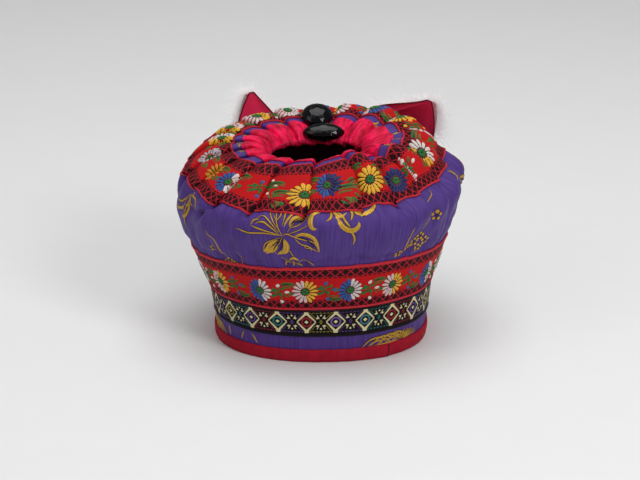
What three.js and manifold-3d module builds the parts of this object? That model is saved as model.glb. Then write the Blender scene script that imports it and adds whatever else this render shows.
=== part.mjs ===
// Tiger hat for a baby: a purple brocade crown gathered into a round opening, with woven ribbons,
// a red binding at the rim, a pink-red band at the opening, two ears edged with fur and two cut stones.
// Millimetres, +Z up. The rim rests on Z = 0 and the hat's back faces -Y.

import * as THREE from "three";
import { ConvexGeometry } from "three/addons/geometries/ConvexGeometry.js";
import { mergeVertices } from "three/addons/utils/BufferGeometryUtils.js";
import Module from "manifold-3d";

const wasm = await Module();
wasm.setup();

// Driving dimensions
const clothWall = 1.6;
const trimWall = 1.0;
const gap = 0.3;
const roundness = 2.2; // exponent of the superellipse that every level of the hat follows
const samplesPerPleat = 4;
const centreShift = -3.2; // along Y, so that the whole hat's box is centred on the origin

// Levels of the cloth from the rim up over the shoulder and into the opening. left, right, near and far
// are radii, roll lifts the right side, pitch lifts the far side, pleat is the height of the pleats there.
const levels = [
  { name: "rim", z: 0.0, left: 60.6, right: 61.4, near: 50.4, far: 57.0, roll: 0.0, pitch: 0.0, pleat: 0.0 },
  { name: "bindingTop", z: 8.6, left: 61.3, right: 62.6, near: 52.0, far: 58.2, roll: 0.5, pitch: 0.4, pleat: 0.0 },
  { name: "diamondLow", z: 17.4, left: 61.8, right: 63.4, near: 53.6, far: 59.6, roll: 0.5, pitch: 0.4, pleat: 0.0 },
  { name: "diamondHigh", z: 34.7, left: 64.4, right: 65.4, near: 56.0, far: 62.4, roll: 1.6, pitch: 0.4, pleat: 0.0 },
  { name: "flowerLow", z: 35.5, left: 64.8, right: 65.7, near: 56.3, far: 62.6, roll: 1.6, pitch: 0.4, pleat: 0.0 },
  { name: "flowerHigh", z: 60.7, left: 75.2, right: 74.2, near: 66.0, far: 71.0, roll: 2.6, pitch: -3.0, pleat: 0.0 },
  { name: "puffLow", z: 72.0, left: 80.2, right: 77.6, near: 71.6, far: 75.0, roll: 2.0, pitch: 0.0, pleat: 0.3 },
  { name: "puffWide", z: 85.0, left: 81.4, right: 80.2, near: 74.2, far: 77.2, roll: 1.6, pitch: 1.6, pleat: 0.6 },
  { name: "puffHigh", z: 96.0, left: 80.4, right: 81.0, near: 73.0, far: 76.0, roll: 2.0, pitch: 3.6, pleat: 1.2 },
  { name: "ringEdge", z: 103.2, left: 75.4, right: 70.2, near: 66.6, far: 69.4, roll: 2.6, pitch: 6.0, pleat: 2.4 },
  { name: "ringMiddle", z: 110.4, left: 64.4, right: 61.2, near: 57.6, far: 60.0, roll: 2.4, pitch: 6.8, pleat: 3.0 },
  { name: "ringInner", z: 112.6, left: 52.2, right: 51.0, near: 47.6, far: 50.0, roll: 1.0, pitch: 2.0, pleat: 2.8 },
  { name: "bandOuter", z: 112.4, left: 43.0, right: 41.4, near: 39.2, far: 41.0, roll: -0.4, pitch: 0.6, pleat: 2.2 },
  { name: "bandMiddle", z: 111.0, left: 35.4, right: 34.6, near: 33.2, far: 34.0, roll: -0.4, pitch: -0.8, pleat: 1.8 },
  { name: "holeEdge", z: 105.6, left: 29.6, right: 27.2, near: 26.8, far: 27.4, roll: 0.0, pitch: 0.4, pleat: 1.2 },
];
const level = Object.fromEntries(levels.map((row, index) => [row.name, index]));

// Pleats round the opening: the azimuth in degrees where each one starts, counted from +X towards the
// far side, and its height against the height that the levels give.
const pleats = [
  { start: -3, height: 1.0 },
  { start: 16, height: 0.8 },
  { start: 40, height: 0.9 },
  { start: 60, height: 0.7 },
  { start: 78, height: 0.6 },
  { start: 98, height: 0.7 },
  { start: 114, height: 0.8 },
  { start: 132, height: 0.7 },
  { start: 150, height: 0.8 },
  { start: 167, height: 0.8 },
  { start: 185, height: 0.7 },
  { start: 203, height: 0.9 },
  { start: 222, height: 1.0 },
  { start: 240, height: 1.1 },
  { start: 263, height: 1.2 },
  { start: 288, height: 1.3 },
  { start: 306, height: 1.0 },
  { start: 318, height: 1.1 },
  { start: 337, height: 0.9 },
];
const crest = 0.82; // share of a pleat's width where it is highest, before it drops to the next one
const turn = 2 * Math.PI;

// Soft dents and swells of the puff between the flower band and the ring: azimuth in degrees, the level
// they are centred on, half widths in degrees and in levels, and depth, which is negative for a dent.
const dents = [
  { azimuth: 196, level: 7.9, across: 9, along: 0.9, depth: -2.6 },
  { azimuth: 214, level: 8.3, across: 7, along: 0.8, depth: -2.2 },
  { azimuth: 232, level: 8.2, across: 6, along: 0.7, depth: -1.6 },
  { azimuth: 262, level: 8.2, across: 8, along: 0.7, depth: -1.4 },
  { azimuth: 312, level: 8.1, across: 8, along: 0.8, depth: -1.8 },
  { azimuth: 340, level: 7.6, across: 9, along: 1.1, depth: 1.6 },
  { azimuth: 285, level: 7.2, across: 16, along: 1.0, depth: 1.2 },
  { azimuth: 30, level: 7.8, across: 10, along: 0.9, depth: -1.6 },
  { azimuth: 150, level: 7.8, across: 10, along: 0.9, depth: -1.6 },
];

const radians = THREE.MathUtils.degToRad;

// Azimuths of the vertices: each pleat is cut at the same shares of its width
const azimuths = pleats.flatMap((pleat, index) => {
  const next = index + 1 < pleats.length ? pleats[index + 1].start : pleats[0].start + 360;
  const shares = Array.from({ length: samplesPerPleat }, (_, k) => (k * crest) / (samplesPerPleat - 1));
  return shares.map((share) => radians(pleat.start + share * (next - pleat.start)));
});

function pleatHeight(azimuth) {
  const first = radians(pleats[0].start);
  const angle = first + ((((azimuth - first) % turn) + turn) % turn);
  let index = pleats.length - 1;
  while (radians(pleats[index].start) > angle + 1e-9) index -= 1;
  const start = radians(pleats[index].start);
  const end = index + 1 < pleats.length ? radians(pleats[index + 1].start) : first + turn;
  const share = (angle - start) / (end - start);
  const rise = Math.sin((Math.min(share / crest, 1) * Math.PI) / 2);
  const fall = Math.max((share - crest) / (1 - crest), 0);
  return pleats[index].height * (rise - fall);
}

function dentHeight(azimuth, station) {
  return dents.reduce((sum, dent) => {
    const away = Math.atan2(Math.sin(azimuth - radians(dent.azimuth)), Math.cos(azimuth - radians(dent.azimuth)));
    const across = away / radians(dent.across);
    const along = (station - dent.level) / dent.along;
    return sum + dent.depth * Math.exp(-across * across - along * along);
  }, 0);
}

// A uniform Catmull-Rom curve through one column of the levels
function column(name, station) {
  const last = levels.length - 1;
  const index = Math.min(Math.floor(station), last - 1);
  const t = station - index;
  const value = (k) => {
    if (k < 0) return 2 * levels[0][name] - levels[1][name];
    if (k > last) return 2 * levels[last][name] - levels[last - 1][name];
    return levels[k][name];
  };
  const [a, b, c, d] = [value(index - 1), value(index), value(index + 1), value(index + 2)];
  return b + 0.5 * t * (c - a + t * (2 * a - 5 * b + 4 * c - d + t * (3 * (b - c) + d - a)));
}

// The smooth form of the hat, without pleats and dents
function smoothPoint(azimuth, station) {
  const c = Math.cos(azimuth);
  const s = Math.sin(azimuth);
  const k = (Math.abs(c) ** roundness + Math.abs(s) ** roundness) ** (-1 / roundness);
  const side = column(c > 0 ? "right" : "left", station);
  const depth = column(s > 0 ? "far" : "near", station);
  const lift = column("roll", station) * c * k + column("pitch", station) * s * k;
  return new THREE.Vector3(side * c * k, depth * s * k, column("z", station) + lift);
}

function smoothNormal(azimuth, station) {
  const step = 0.02;
  const low = Math.max(station - step, 0);
  const high = Math.min(station + step, levels.length - 1);
  const around = smoothPoint(azimuth + step, station).sub(smoothPoint(azimuth - step, station));
  const along = smoothPoint(azimuth, high).sub(smoothPoint(azimuth, low));
  return around.cross(along).normalize();
}

// A point on the cloth, or at a height off it. The rim lies flat on the surface it rests on.
function clothPoint(azimuth, station, height) {
  const fold = column("pleat", station) * pleatHeight(azimuth) + dentHeight(azimuth, station);
  const normal = smoothNormal(azimuth, station);
  const point = smoothPoint(azimuth, station).addScaledVector(normal, fold + height);
  if (station === level.rim) point.z = 0;
  return point;
}

// Keeps only the positions, joins equal vertices and turns the faces outward
function closedBody(geometry) {
  geometry.deleteAttribute("normal");
  geometry.deleteAttribute("uv");
  const body = mergeVertices(geometry, 1e-4);
  const position = body.attributes.position;
  const corners = [new THREE.Vector3(), new THREE.Vector3(), new THREE.Vector3()];
  let volume = 0;
  for (let k = 0; k < body.index.count; k += 3) {
    corners.forEach((corner, n) => corner.fromBufferAttribute(position, body.index.getX(k + n)));
    volume += corners[0].dot(corners[1].clone().cross(corners[2]));
  }
  if (volume < 0) body.index.array.reverse();
  return body;
}

// A ring of cloth: a closed outline of [level, height off the cloth], carried round the hat
function clothRing(outline) {
  const profile = [...outline, outline[0]].map(([station, height]) => new THREE.Vector2(station + 1, height));
  const geometry = new THREE.LatheGeometry(profile, azimuths.length);
  for (let k = 0; k < geometry.attributes.position.count; k += 1) {
    const around = Math.floor(k / profile.length) % azimuths.length;
    const [station, height] = outline[(k % profile.length) % outline.length];
    geometry.attributes.position.setXYZ(k, ...clothPoint(azimuths[around], station, height));
  }
  return closedBody(geometry);
}

// A sheet given by a function of three shares: across, up and through its wall
function sheetBody(columns, rows, place) {
  const geometry = new THREE.BoxGeometry(1, 1, 1, columns, rows, 1);
  const position = geometry.attributes.position;
  for (let k = 0; k < position.count; k += 1) {
    const point = place(position.getX(k) + 0.5, position.getY(k) + 0.5, position.getZ(k) + 0.5);
    position.setXYZ(k, ...point);
  }
  return closedBody(geometry);
}

const group = new THREE.Group();
group.position.y = centreShift;

function addMesh(name, geometry, colour, roughness) {
  const material = new THREE.MeshStandardMaterial({ color: colour, roughness, metalness: 0 });
  const mesh = new THREE.Mesh(geometry, material);
  mesh.name = name;
  group.add(mesh);
}

// Crown: one piece of brocade, open at the rim and at the top
const crownHem = level.rim + 0.22;
const crownTop = level.holeEdge - 0.4;
const inside = -clothWall;
const crownOutside = [crownHem, 1, 2, 3, 4, 5, 6, 7, 8, 9, 10, 11, 12, 13, crownTop];
const crownInside = [crownTop, 13, 12, 11, 10, 9, 8, 7, 6, 5, 3, 2, 1, crownHem];
addMesh(
  "crown",
  clothRing([...crownOutside.map((at) => [at, 0]), ...crownInside.map((at) => [at, inside])]),
  0x4a2f9a,
  0.55,
);

// Rim binding: a strip folded over the crown's hem
const outerFace = gap + trimWall;
const innerGap = inside - gap;
const innerFace = innerGap - trimWall;
const hemGap = level.rim + 0.16;
addMesh(
  "rim_binding",
  clothRing([
    [level.rim, outerFace],
    [level.bindingTop, outerFace],
    [level.bindingTop, gap],
    [hemGap, gap],
    [hemGap, innerGap],
    [level.bindingTop - 0.15, innerGap],
    [level.bindingTop - 0.15, innerFace],
    [level.rim, innerFace],
  ]),
  0xb01c33,
  0.8,
);

// Woven ribbons sewn flat on the cloth
function ribbon(stations) {
  const back = [...stations].reverse();
  return clothRing([...stations.map((at) => [at, gap]), ...back.map((at) => [at, outerFace])]);
}
addMesh("diamond_band", ribbon([level.diamondLow, level.diamondHigh]), 0x1c1a20, 0.75);
addMesh("flower_band_lower", ribbon([level.flowerLow, level.flowerHigh]), 0xc22432, 0.7);
addMesh("flower_band_upper", ribbon([level.ringEdge, level.ringMiddle, level.ringInner]), 0xc22432, 0.7);

// Opening band: satin folded over the gathered edge of the crown
addMesh(
  "opening_band",
  clothRing([
    [level.bandOuter, gap],
    [level.bandMiddle, gap],
    [crownTop, gap],
    [crownTop + 0.15, gap],
    [crownTop + 0.15, innerGap],
    [level.bandMiddle, innerGap],
    [level.bandMiddle, innerFace],
    [level.holeEdge, innerFace],
    [level.holeEdge, outerFace],
    [level.bandMiddle, outerFace],
    [level.bandOuter, outerFace],
  ]),
  0xb3163f,
  0.5,
);

// Ears: two flaps that stand on the far shoulder. base is the azimuth of each end of the seam, tip the
// ends of the short top edge, bow how far the first edge swells out, cup how far the flap bends back.
const earSeam = level.puffHigh + 0.1;
const earWall = 2.6;
const seatGap = 0.75;
const seamDrop = 0.3; // levels that the far side of the seam lies below the near side
const ears = [
  {
    name: "left",
    base: [129, 104],
    tip: [new THREE.Vector3(-42.4, 61.5, 128.6), new THREE.Vector3(-39.4, 62.5, 129.0)],
    bow: 1.0,
    cup: 2.0,
  },
  {
    name: "right",
    base: [74, 36],
    tip: [new THREE.Vector3(62.8, 43.4, 130.0), new THREE.Vector3(65.6, 40.6, 130.2)],
    bow: 5.0,
    cup: 2.0,
  },
];

function earSeat(ear, across) {
  return radians(THREE.MathUtils.lerp(ear.base[0], ear.base[1], across));
}

// through is 0 on the side that faces the opening and 1 on the far side, and may go past it
function earPoint(ear, across, up, through) {
  const azimuth = earSeat(ear, across);
  const seat = clothPoint(azimuth, earSeam, seatGap);
  const tip = ear.tip[0].clone().lerp(ear.tip[1], across);
  const point = seat.lerp(tip, up);
  const swell = 4 * up * (1 - up);
  const outward = new THREE.Vector3(Math.cos(azimuth), Math.sin(azimuth), 0);
  const side = new THREE.Vector3().crossVectors(outward, new THREE.Vector3(0, 0, 1));
  point.addScaledVector(side, -ear.bow * swell * (1 - across));
  point.addScaledVector(new THREE.Vector3(0, 0, 1), ear.bow * swell * (1 - across));
  point.addScaledVector(outward, ear.cup * swell);
  if (up < 1e-6) return clothPoint(azimuth, earSeam - through * seamDrop, seatGap);
  return point.addScaledVector(outward, through * earWall);
}

for (const ear of ears) {
  addMesh(
    `ear_${ear.name}`,
    sheetBody(8, 6, (across, up, through) => earPoint(ear, across, up, through)),
    0xad1f3f,
    0.7,
  );
}

// Fur: locks round the free edges of each ear, joined to a thin backing on the ear's far side
const furGap = 0.4;
const furBacking = 4.4;
const lock = { width: 2.0, length: 13, sides: 5, sunk: 3 };
const locks = [
  { across: 0.02, up: 0.42, lean: -60 },
  { across: 0.02, up: 0.58, lean: -50 },
  { across: 0.02, up: 0.74, lean: -38 },
  { across: 0.1, up: 0.9, lean: -24 },
  { across: 0.5, up: 0.96, lean: -4 },
  { across: 0.9, up: 0.9, lean: 24 },
  { across: 0.98, up: 0.74, lean: 36 },
  { across: 0.98, up: 0.58, lean: 48 },
  { across: 0.98, up: 0.42, lean: 60 },
  { across: 0.3, up: 0.55, lean: -14 },
  { across: 0.7, up: 0.55, lean: 14 },
  { across: 0.5, up: 0.4, lean: 0 },
];

function solidOf(geometry) {
  const body = geometry.index && !geometry.attributes.normal ? geometry : closedBody(geometry);
  return new wasm.Manifold(
    new wasm.Mesh({
      numProp: 3,
      vertProperties: Float32Array.from(body.attributes.position.array),
      triVerts: Uint32Array.from(body.index.array),
    }),
  );
}

function geometryOf(solid) {
  const mesh = solid.getMesh();
  const geometry = new THREE.BufferGeometry();
  geometry.setAttribute("position", new THREE.BufferAttribute(Float32Array.from(mesh.vertProperties), 3));
  geometry.setIndex(new THREE.BufferAttribute(Uint32Array.from(mesh.triVerts), 1));
  return geometry;
}

function furBody(ear) {
  const far = (through) => 1 + (furGap + through * furBacking) / earWall;
  let fur = solidOf(sheetBody(4, 3, (across, up, through) => earPoint(ear, across, 0.16 + 0.8 * up, far(through))));
  const upward = earPoint(ear, 0.5, 0.9, far(0.5)).sub(earPoint(ear, 0.5, 0.2, far(0.5))).normalize();
  const azimuth = earSeat(ear, 0.5);
  const outward = new THREE.Vector3(Math.cos(azimuth), Math.sin(azimuth), 0);
  const axis = outward.clone().addScaledVector(upward, -outward.dot(upward)).normalize();
  for (const row of locks) {
    const root = earPoint(ear, row.across, row.up, far(0.75));
    const towards = upward.clone().applyAxisAngle(axis, radians(-row.lean));
    const direction = towards.addScaledVector(axis, 0.12).normalize();
    const cone = new THREE.ConeGeometry(lock.width, lock.length, lock.sides, 1);
    cone.translate(0, lock.length / 2 - lock.sunk, 0);
    cone.applyQuaternion(new THREE.Quaternion().setFromUnitVectors(new THREE.Vector3(0, 1, 0), direction));
    cone.translate(root.x, root.y, root.z);
    fur = fur.add(solidOf(cone));
  }
  const clear = (through) => -furGap / earWall + through * (1 + (2 * furGap) / earWall);
  const room = sheetBody(8, 6, (across, up, through) =>
    earPoint(ear, 1.04 * across - 0.02, 1.06 * up + 0.001, clear(through)),
  );
  return geometryOf(fur.subtract(solidOf(room)));
}

for (const ear of ears) {
  addMesh(`ear_fur_${ear.name}`, furBody(ear), 0xe4e2de, 0.95);
}

const backReach = 0.86; // of the girdle's radius

// Cut stones: a flat table, two rows of facets, a girdle and a flat back
function cutStone(stone) {
  const rows = [
    { sides: stone.sides / 2, reach: 0.52, height: 1.0, turned: 0.5 },
    { sides: stone.sides / 2, reach: 0.82, height: 0.7, turned: 0 },
    { sides: stone.sides, reach: 1.0, height: 0.34, turned: 0.25 },
    { sides: stone.sides, reach: 1.0, height: 0.2, turned: 0.25 },
    { sides: stone.sides / 2, reach: backReach, height: 0.0, turned: 0 },
  ];
  const points = rows.flatMap((row) =>
    Array.from({ length: row.sides }, (_, k) => {
      const angle = ((k + row.turned) / row.sides) * turn;
      const point = Math.abs(Math.sin(angle)) ** stone.pointed * Math.sign(Math.sin(angle));
      return new THREE.Vector3(
        Math.cos(angle) * row.reach * stone.length * 0.5,
        point * row.reach * stone.width * 0.5,
        row.height * stone.thick,
      );
    }),
  );
  return new ConvexGeometry(points);
}

// over is the level under the stone, azimuth its place round the opening, tip how far it leans to the back
const stones = [
  { name: "round", length: 19.4, width: 18.0, thick: 7.6, pointed: 1.0, sides: 16, over: 11.3, azimuth: 92, tip: 30 },
  { name: "oval", length: 25.0, width: 13.6, thick: 7.0, pointed: 1.25, sides: 16, over: 13.3, azimuth: 86, tip: 26 },
];

// Lowers each stone along its own axis until its back rests just off whatever lies under it
for (const stone of stones) {
  const azimuth = radians(stone.azimuth);
  const seat = clothPoint(azimuth, stone.over, 0);
  const frame = new THREE.Quaternion().setFromAxisAngle(new THREE.Vector3(1, 0, 0), radians(stone.tip));
  const axis = new THREE.Vector3(0, 0, 1).applyQuaternion(frame);
  let highest = -Infinity;
  for (const around of azimuths) {
    for (let station = level.ringMiddle; station <= level.holeEdge; station += 0.1) {
      const onTrim = station <= level.ringInner || station >= level.bandOuter;
      const point = clothPoint(around, station, onTrim ? outerFace : 0).sub(seat);
      const height = point.dot(axis);
      const local = point.clone().applyQuaternion(frame.clone().invert());
      const reach = Math.hypot(local.x / stone.length, local.y / stone.width) * 2;
      if (reach < backReach) highest = Math.max(highest, height);
    }
  }
  const geometry = cutStone(stone).applyQuaternion(frame);
  const place = seat.addScaledVector(axis, highest + gap);
  geometry.translate(place.x, place.y, place.z);
  addMesh(`stone_${stone.name}`, closedBody(geometry), 0x0b0c0f, 0.12);
}

export default group;
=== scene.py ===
import math

import bmesh
import bpy
import numpy as np
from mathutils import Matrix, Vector


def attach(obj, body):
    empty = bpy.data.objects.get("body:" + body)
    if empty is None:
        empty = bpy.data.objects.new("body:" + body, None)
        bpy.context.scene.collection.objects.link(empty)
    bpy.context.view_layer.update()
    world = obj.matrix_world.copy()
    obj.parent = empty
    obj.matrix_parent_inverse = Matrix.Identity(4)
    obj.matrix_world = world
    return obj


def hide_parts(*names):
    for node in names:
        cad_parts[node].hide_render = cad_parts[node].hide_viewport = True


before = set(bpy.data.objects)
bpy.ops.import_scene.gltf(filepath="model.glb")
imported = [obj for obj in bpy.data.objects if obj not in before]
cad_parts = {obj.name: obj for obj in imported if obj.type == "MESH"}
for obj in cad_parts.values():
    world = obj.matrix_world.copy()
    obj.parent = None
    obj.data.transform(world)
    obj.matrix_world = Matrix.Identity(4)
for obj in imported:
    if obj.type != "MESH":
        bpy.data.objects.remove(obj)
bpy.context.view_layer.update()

# ---------------------------------------------------------------- crown
# One piece of purple brocade: straight round the head, wide over the shoulder, then pleated and gathered
# into the opening. It is a plain weave satin with gold weft figures and a cotton lining whose dark colour is painted
# shade.

# Each level of the cloth in millimetres: height, the four radii, how far the right and the far side are
# lifted, and the height of the pleats. The rim is first and the edge of the opening is last.
level_columns = ("height", "left", "right", "near", "far", "roll", "pitch", "pleat")
levels = np.array([
    (0.0, 60.6, 61.4, 50.4, 57.0, 0.0, 0.0, 0.0),
    (8.6, 61.3, 62.6, 52.0, 58.2, 0.5, 0.4, 0.0),
    (17.4, 61.8, 63.4, 53.6, 59.6, 0.5, 0.4, 0.0),
    (34.7, 64.4, 65.4, 56.0, 62.4, 1.6, 0.4, 0.0),
    (35.5, 64.8, 65.7, 56.3, 62.6, 1.6, 0.4, 0.0),
    (60.7, 75.2, 74.2, 66.0, 71.0, 2.6, -3.0, 0.0),
    (72.0, 80.2, 77.6, 71.6, 75.0, 2.0, 0.0, 0.3),
    (85.0, 81.4, 80.2, 74.2, 77.2, 1.6, 1.6, 0.6),
    (96.0, 80.4, 81.0, 73.0, 76.0, 2.0, 3.6, 1.2),
    (103.2, 75.4, 70.2, 66.6, 69.4, 2.6, 6.0, 2.4),
    (110.4, 64.4, 61.2, 57.6, 60.0, 2.4, 6.8, 3.0),
    (112.6, 52.2, 51.0, 47.6, 50.0, 1.0, 2.0, 2.8),
    (112.4, 43.0, 41.4, 39.2, 41.0, -0.4, 0.6, 2.7),
    (111.0, 35.4, 34.6, 33.2, 34.0, -0.4, -0.8, 2.6),
    (105.6, 29.6, 27.2, 26.8, 27.4, 0.0, 0.4, 1.9),
])
diamond_low, diamond_high, flower_low, flower_high = 2, 3, 4, 5
ring_edge, ring_inner, band_outer = 9, 11, 12
level_gap, puff_radius = 12.0, 77  # in millimetres, on average
roundness = 2.2
centre_shift = -3.2
metre = 0.001

# Each pleat: the azimuth in degrees where it starts, counted from +X towards the far side, its height
# against the levels' own, the degrees that its end laps over the next one, and how far it is a round
# roll (1) and not a knife pleat (0).
pleats = np.array([
    (-3, 1.05, 1.5, 0.85), (16, 0.9, 3.0, 0.8), (40, 1.0, 3.5, 0.8), (60, 0.8, 2.5, 0.6), (78, 0.6, 1.0, 0.4),
    (98, 0.7, 1.0, 0.3), (114, 0.8, 2.0, 0.3), (132, 0.8, 2.5, 0.2), (150, 0.9, 3.0, 0.1), (167, 0.9, 3.0, 0.1),
    (185, 0.8, 3.0, 0.1), (203, 0.9, 3.5, 0.1), (222, 1.1, 4.0, 0.1), (240, 1.2, 4.0, 0.15), (263, 1.3, 4.5, 0.15),
    (288, 1.6, 1.5, 0.9), (306, 0.9, 1.0, 0.4), (318, 1.5, 2.0, 0.9), (337, 1.25, 3.0, 0.9),
])
pleat_starts, pleat_heights, pleat_laps, pleat_rolls = pleats.T
pleat_widths = np.diff(np.append(pleat_starts, pleat_starts[0] + 360))
crest = 0.82

# Soft dents and swells of the puff: azimuth, level, half widths in degrees and levels, depth
swells = [
    (206, 7.9, 7, 0.7, -2.0), (192, 7.0, 7, 0.9, 2.2), (221, 7.0, 7, 0.9, 2.4), (231, 7.9, 6, 0.7, 1.8),
    (237, 6.2, 8, 0.5, -1.4), (250, 7.6, 8, 0.8, 1.8), (272, 7.9, 8, 0.6, 1.2), (262, 6.4, 10, 0.5, -1.2),
    (293, 7.4, 9, 0.8, 1.6), (312, 7.5, 5, 0.8, 1.8), (325, 7.5, 5, 0.8, 1.8), (340, 7.6, 6, 1.0, 1.8),
    (30, 7.8, 10, 0.9, -2.0), (52, 7.4, 7, 0.9, 1.6), (72, 7.6, 6, 0.8, 1.6), (90, 7.8, 8, 0.9, 1.4),
    (118, 8.0, 8, 0.8, -1.6), (108, 7.3, 6, 0.8, 1.6), (142, 7.3, 7, 0.8, 1.8), (150, 8.0, 8, 0.8, -2.0),
    (168, 7.2, 8, 0.8, 1.6), (8, 7.4, 6, 0.8, 1.6),
]

# Folds of the puff: both ends as azimuth and level, half width in millimetres, depth
folds = [
    # under the ring
    (223, 8.7, 216, 7.6, 2.8, -3.6), (216, 7.6, 210, 6.5, 2.6, -2.4), (214, 7.6, 204, 7.3, 2.6, -1.8),
    (239, 8.9, 236, 7.3, 2.6, -3.0), (244, 9.2, 243, 7.9, 2.4, -2.0), (263, 9.1, 261, 7.5, 2.6, -3.0),
    (284, 9.2, 283, 8.1, 2.4, -2.2), (304, 8.8, 308, 7.2, 2.6, -2.8), (318, 8.5, 321, 6.9, 2.6, -3.0),
    (331, 8.5, 333, 6.6, 2.6, -2.8), (347, 8.4, 346, 6.4, 2.8, -2.8), (2, 8.7, 4, 7.0, 2.8, -2.6),
    (18, 8.7, 20, 7.1, 2.6, -2.4), (43, 8.7, 42, 6.9, 2.8, -2.6), (62, 8.7, 66, 7.0, 2.6, -2.4),
    (80, 8.7, 80, 7.2, 2.6, -2.2), (100, 8.7, 97, 6.9, 2.8, -2.6), (116, 8.7, 119, 7.1, 2.6, -2.2),
    (134, 8.7, 132, 6.9, 2.6, -2.6), (152, 8.7, 156, 7.1, 2.6, -2.2), (169, 8.7, 167, 7.0, 2.8, -2.6),
    (186, 8.7, 187, 7.2, 2.4, -2.4), (200, 8.7, 197, 7.0, 2.4, -2.4),
    # over the lower ribbon
    (190, 5.0, 188, 6.3, 2.4, -2.2), (202, 5.0, 199, 6.5, 2.4, -2.4), (214, 5.0, 210, 6.2, 2.4, -2.2),
    (226, 5.0, 222, 6.3, 2.4, -2.2), (235, 5.0, 232, 6.6, 2.6, -2.6), (244, 5.0, 243, 6.1, 2.4, -2.0),
    (256, 5.0, 254, 6.4, 2.6, -2.2), (264, 5.0, 263, 6.0, 2.2, -1.6), (274, 5.0, 274, 6.3, 2.4, -2.0),
    (287, 5.0, 288, 6.5, 2.6, -2.2), (298, 5.0, 300, 6.3, 2.4, -2.0), (308, 5.0, 311, 6.6, 2.6, -2.4),
    (319, 5.0, 322, 6.4, 2.4, -2.2), (331, 5.0, 333, 6.6, 2.6, -2.4), (344, 5.0, 346, 6.4, 2.4, -2.2),
    (357, 5.0, 356, 6.5, 2.6, -2.2), (12, 5.0, 14, 6.3, 2.4, -2.0), (28, 5.0, 27, 6.5, 2.6, -2.2),
    (44, 5.0, 47, 6.3, 2.4, -2.0), (60, 5.0, 60, 6.5, 2.6, -2.2), (77, 5.0, 74, 6.3, 2.4, -2.0),
    (93, 5.0, 94, 6.5, 2.6, -2.2), (110, 5.0, 113, 6.3, 2.4, -2.0), (126, 5.0, 125, 6.5, 2.6, -2.2),
    (143, 5.0, 146, 6.3, 2.4, -2.0), (160, 5.0, 159, 6.5, 2.6, -2.2), (176, 5.0, 174, 6.3, 2.4, -2.0),
]


def at_level(column, station):
    """One column of the levels along the cloth, as a uniform Catmull-Rom curve."""
    knots = levels[:, level_columns.index(column)]
    values = np.concatenate([[2 * knots[0] - knots[1]], knots, [2 * knots[-1] - knots[-2]]])
    index = np.clip(np.floor(station).astype(int), 0, len(levels) - 2)
    t = station - index
    a, b, c, d = (values[index + k] for k in range(4))
    return b + 0.5 * t * (c - a + t * (2 * a - 5 * b + 4 * c - d + t * (3 * (b - c) + d - a)))


def smooth_point(azimuth, station):
    """The hat without its pleats and folds, at azimuths in radians."""
    c, s = np.cos(azimuth), np.sin(azimuth)
    k = (np.abs(c) ** roundness + np.abs(s) ** roundness) ** (-1 / roundness)
    side = np.where(c > 0, at_level("right", station), at_level("left", station))
    depth = np.where(s > 0, at_level("far", station), at_level("near", station))
    lift = at_level("roll", station) * c * k + at_level("pitch", station) * s * k
    return np.stack([side * c * k, depth * s * k, at_level("height", station) + lift], -1)


def smooth_normal(azimuth, station):
    """The way that smooth cloth faces there."""
    step = 0.02
    low, high = np.maximum(station - step, 0), np.minimum(station + step, len(levels) - 1)
    around = smooth_point(azimuth + step, station) - smooth_point(azimuth - step, station)
    up = smooth_point(azimuth, high) - smooth_point(azimuth, low)
    normal = np.cross(around, up)
    return normal / np.linalg.norm(normal, axis=-1, keepdims=True)


def ease(value, start, end):
    """0 before start, 1 after end and smooth between them."""
    t = np.clip((value - start) / (end - start), 0, 1)
    return t * t * (3 - 2 * t)


def ripples(azimuth, station, pitch, lean, seed, count=6):
    """Uneven ripples round the hat, about pitch degrees apart and -1 to 1 high. lean turns them over."""
    chance = np.random.RandomState(seed)
    total = 0
    for _ in range(count):
        turns = round(360 / pitch * chance.uniform(0.6, 1.5))
        slope, phase = chance.uniform(-lean, lean), chance.uniform(0, 2 * math.pi)
        total = total + np.cos(turns * azimuth + slope * station + phase)
    return total / math.sqrt(count) / 1.3


def pleat_at(azimuth):
    """The pleat that each azimuth falls in, and its share of that pleat's width."""
    degrees = (np.degrees(azimuth) - pleat_starts[0]) % 360 + pleat_starts[0]
    index = np.clip(np.searchsorted(pleat_starts, degrees + 1e-7, side="right") - 1, 0, len(pleats) - 1)
    return index, np.clip((degrees - pleat_starts[index]) / pleat_widths[index], 0, 1)


def right_side(azimuth):
    """1 at the right of the hat, where the pleats stand up as rolls, and 0 at its left."""
    return 0.5 + 0.5 * np.tanh(2.2 * np.cos(azimuth - math.radians(8)))


def pleat_lift(share, roll):
    """Height of a pleat, 0 to 1, over its share: a knife pleat falls off behind its crest, a roll is round."""
    knife = np.minimum(share / crest, 1) ** 0.85 * (1 - ease(share, crest + 0.02, 1))
    rolled = np.sin(math.pi * np.clip((share - 0.08) / 0.84, 0, 1)).clip(0) ** 0.8
    return (1 - roll) * knife + roll * rolled


def pleat_lap(share):
    """How far a pleat leans over the next one, 0 to 1."""
    return ease(share, 0.45, 0.86) * (1 - ease(share, 0.88, 1))


# Creases between the small gathers of the satin band, in degrees
gathers = np.array([-23, -13, -3, 6, 16, 25, 33, 41, 50, 60, 69, 78, 88, 98, 106, 114, 123, 132, 141, 150, 167,
                    185, 203, 222, 240, 263, 277, 288, 297, 306, 318, 328, 337])


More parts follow.
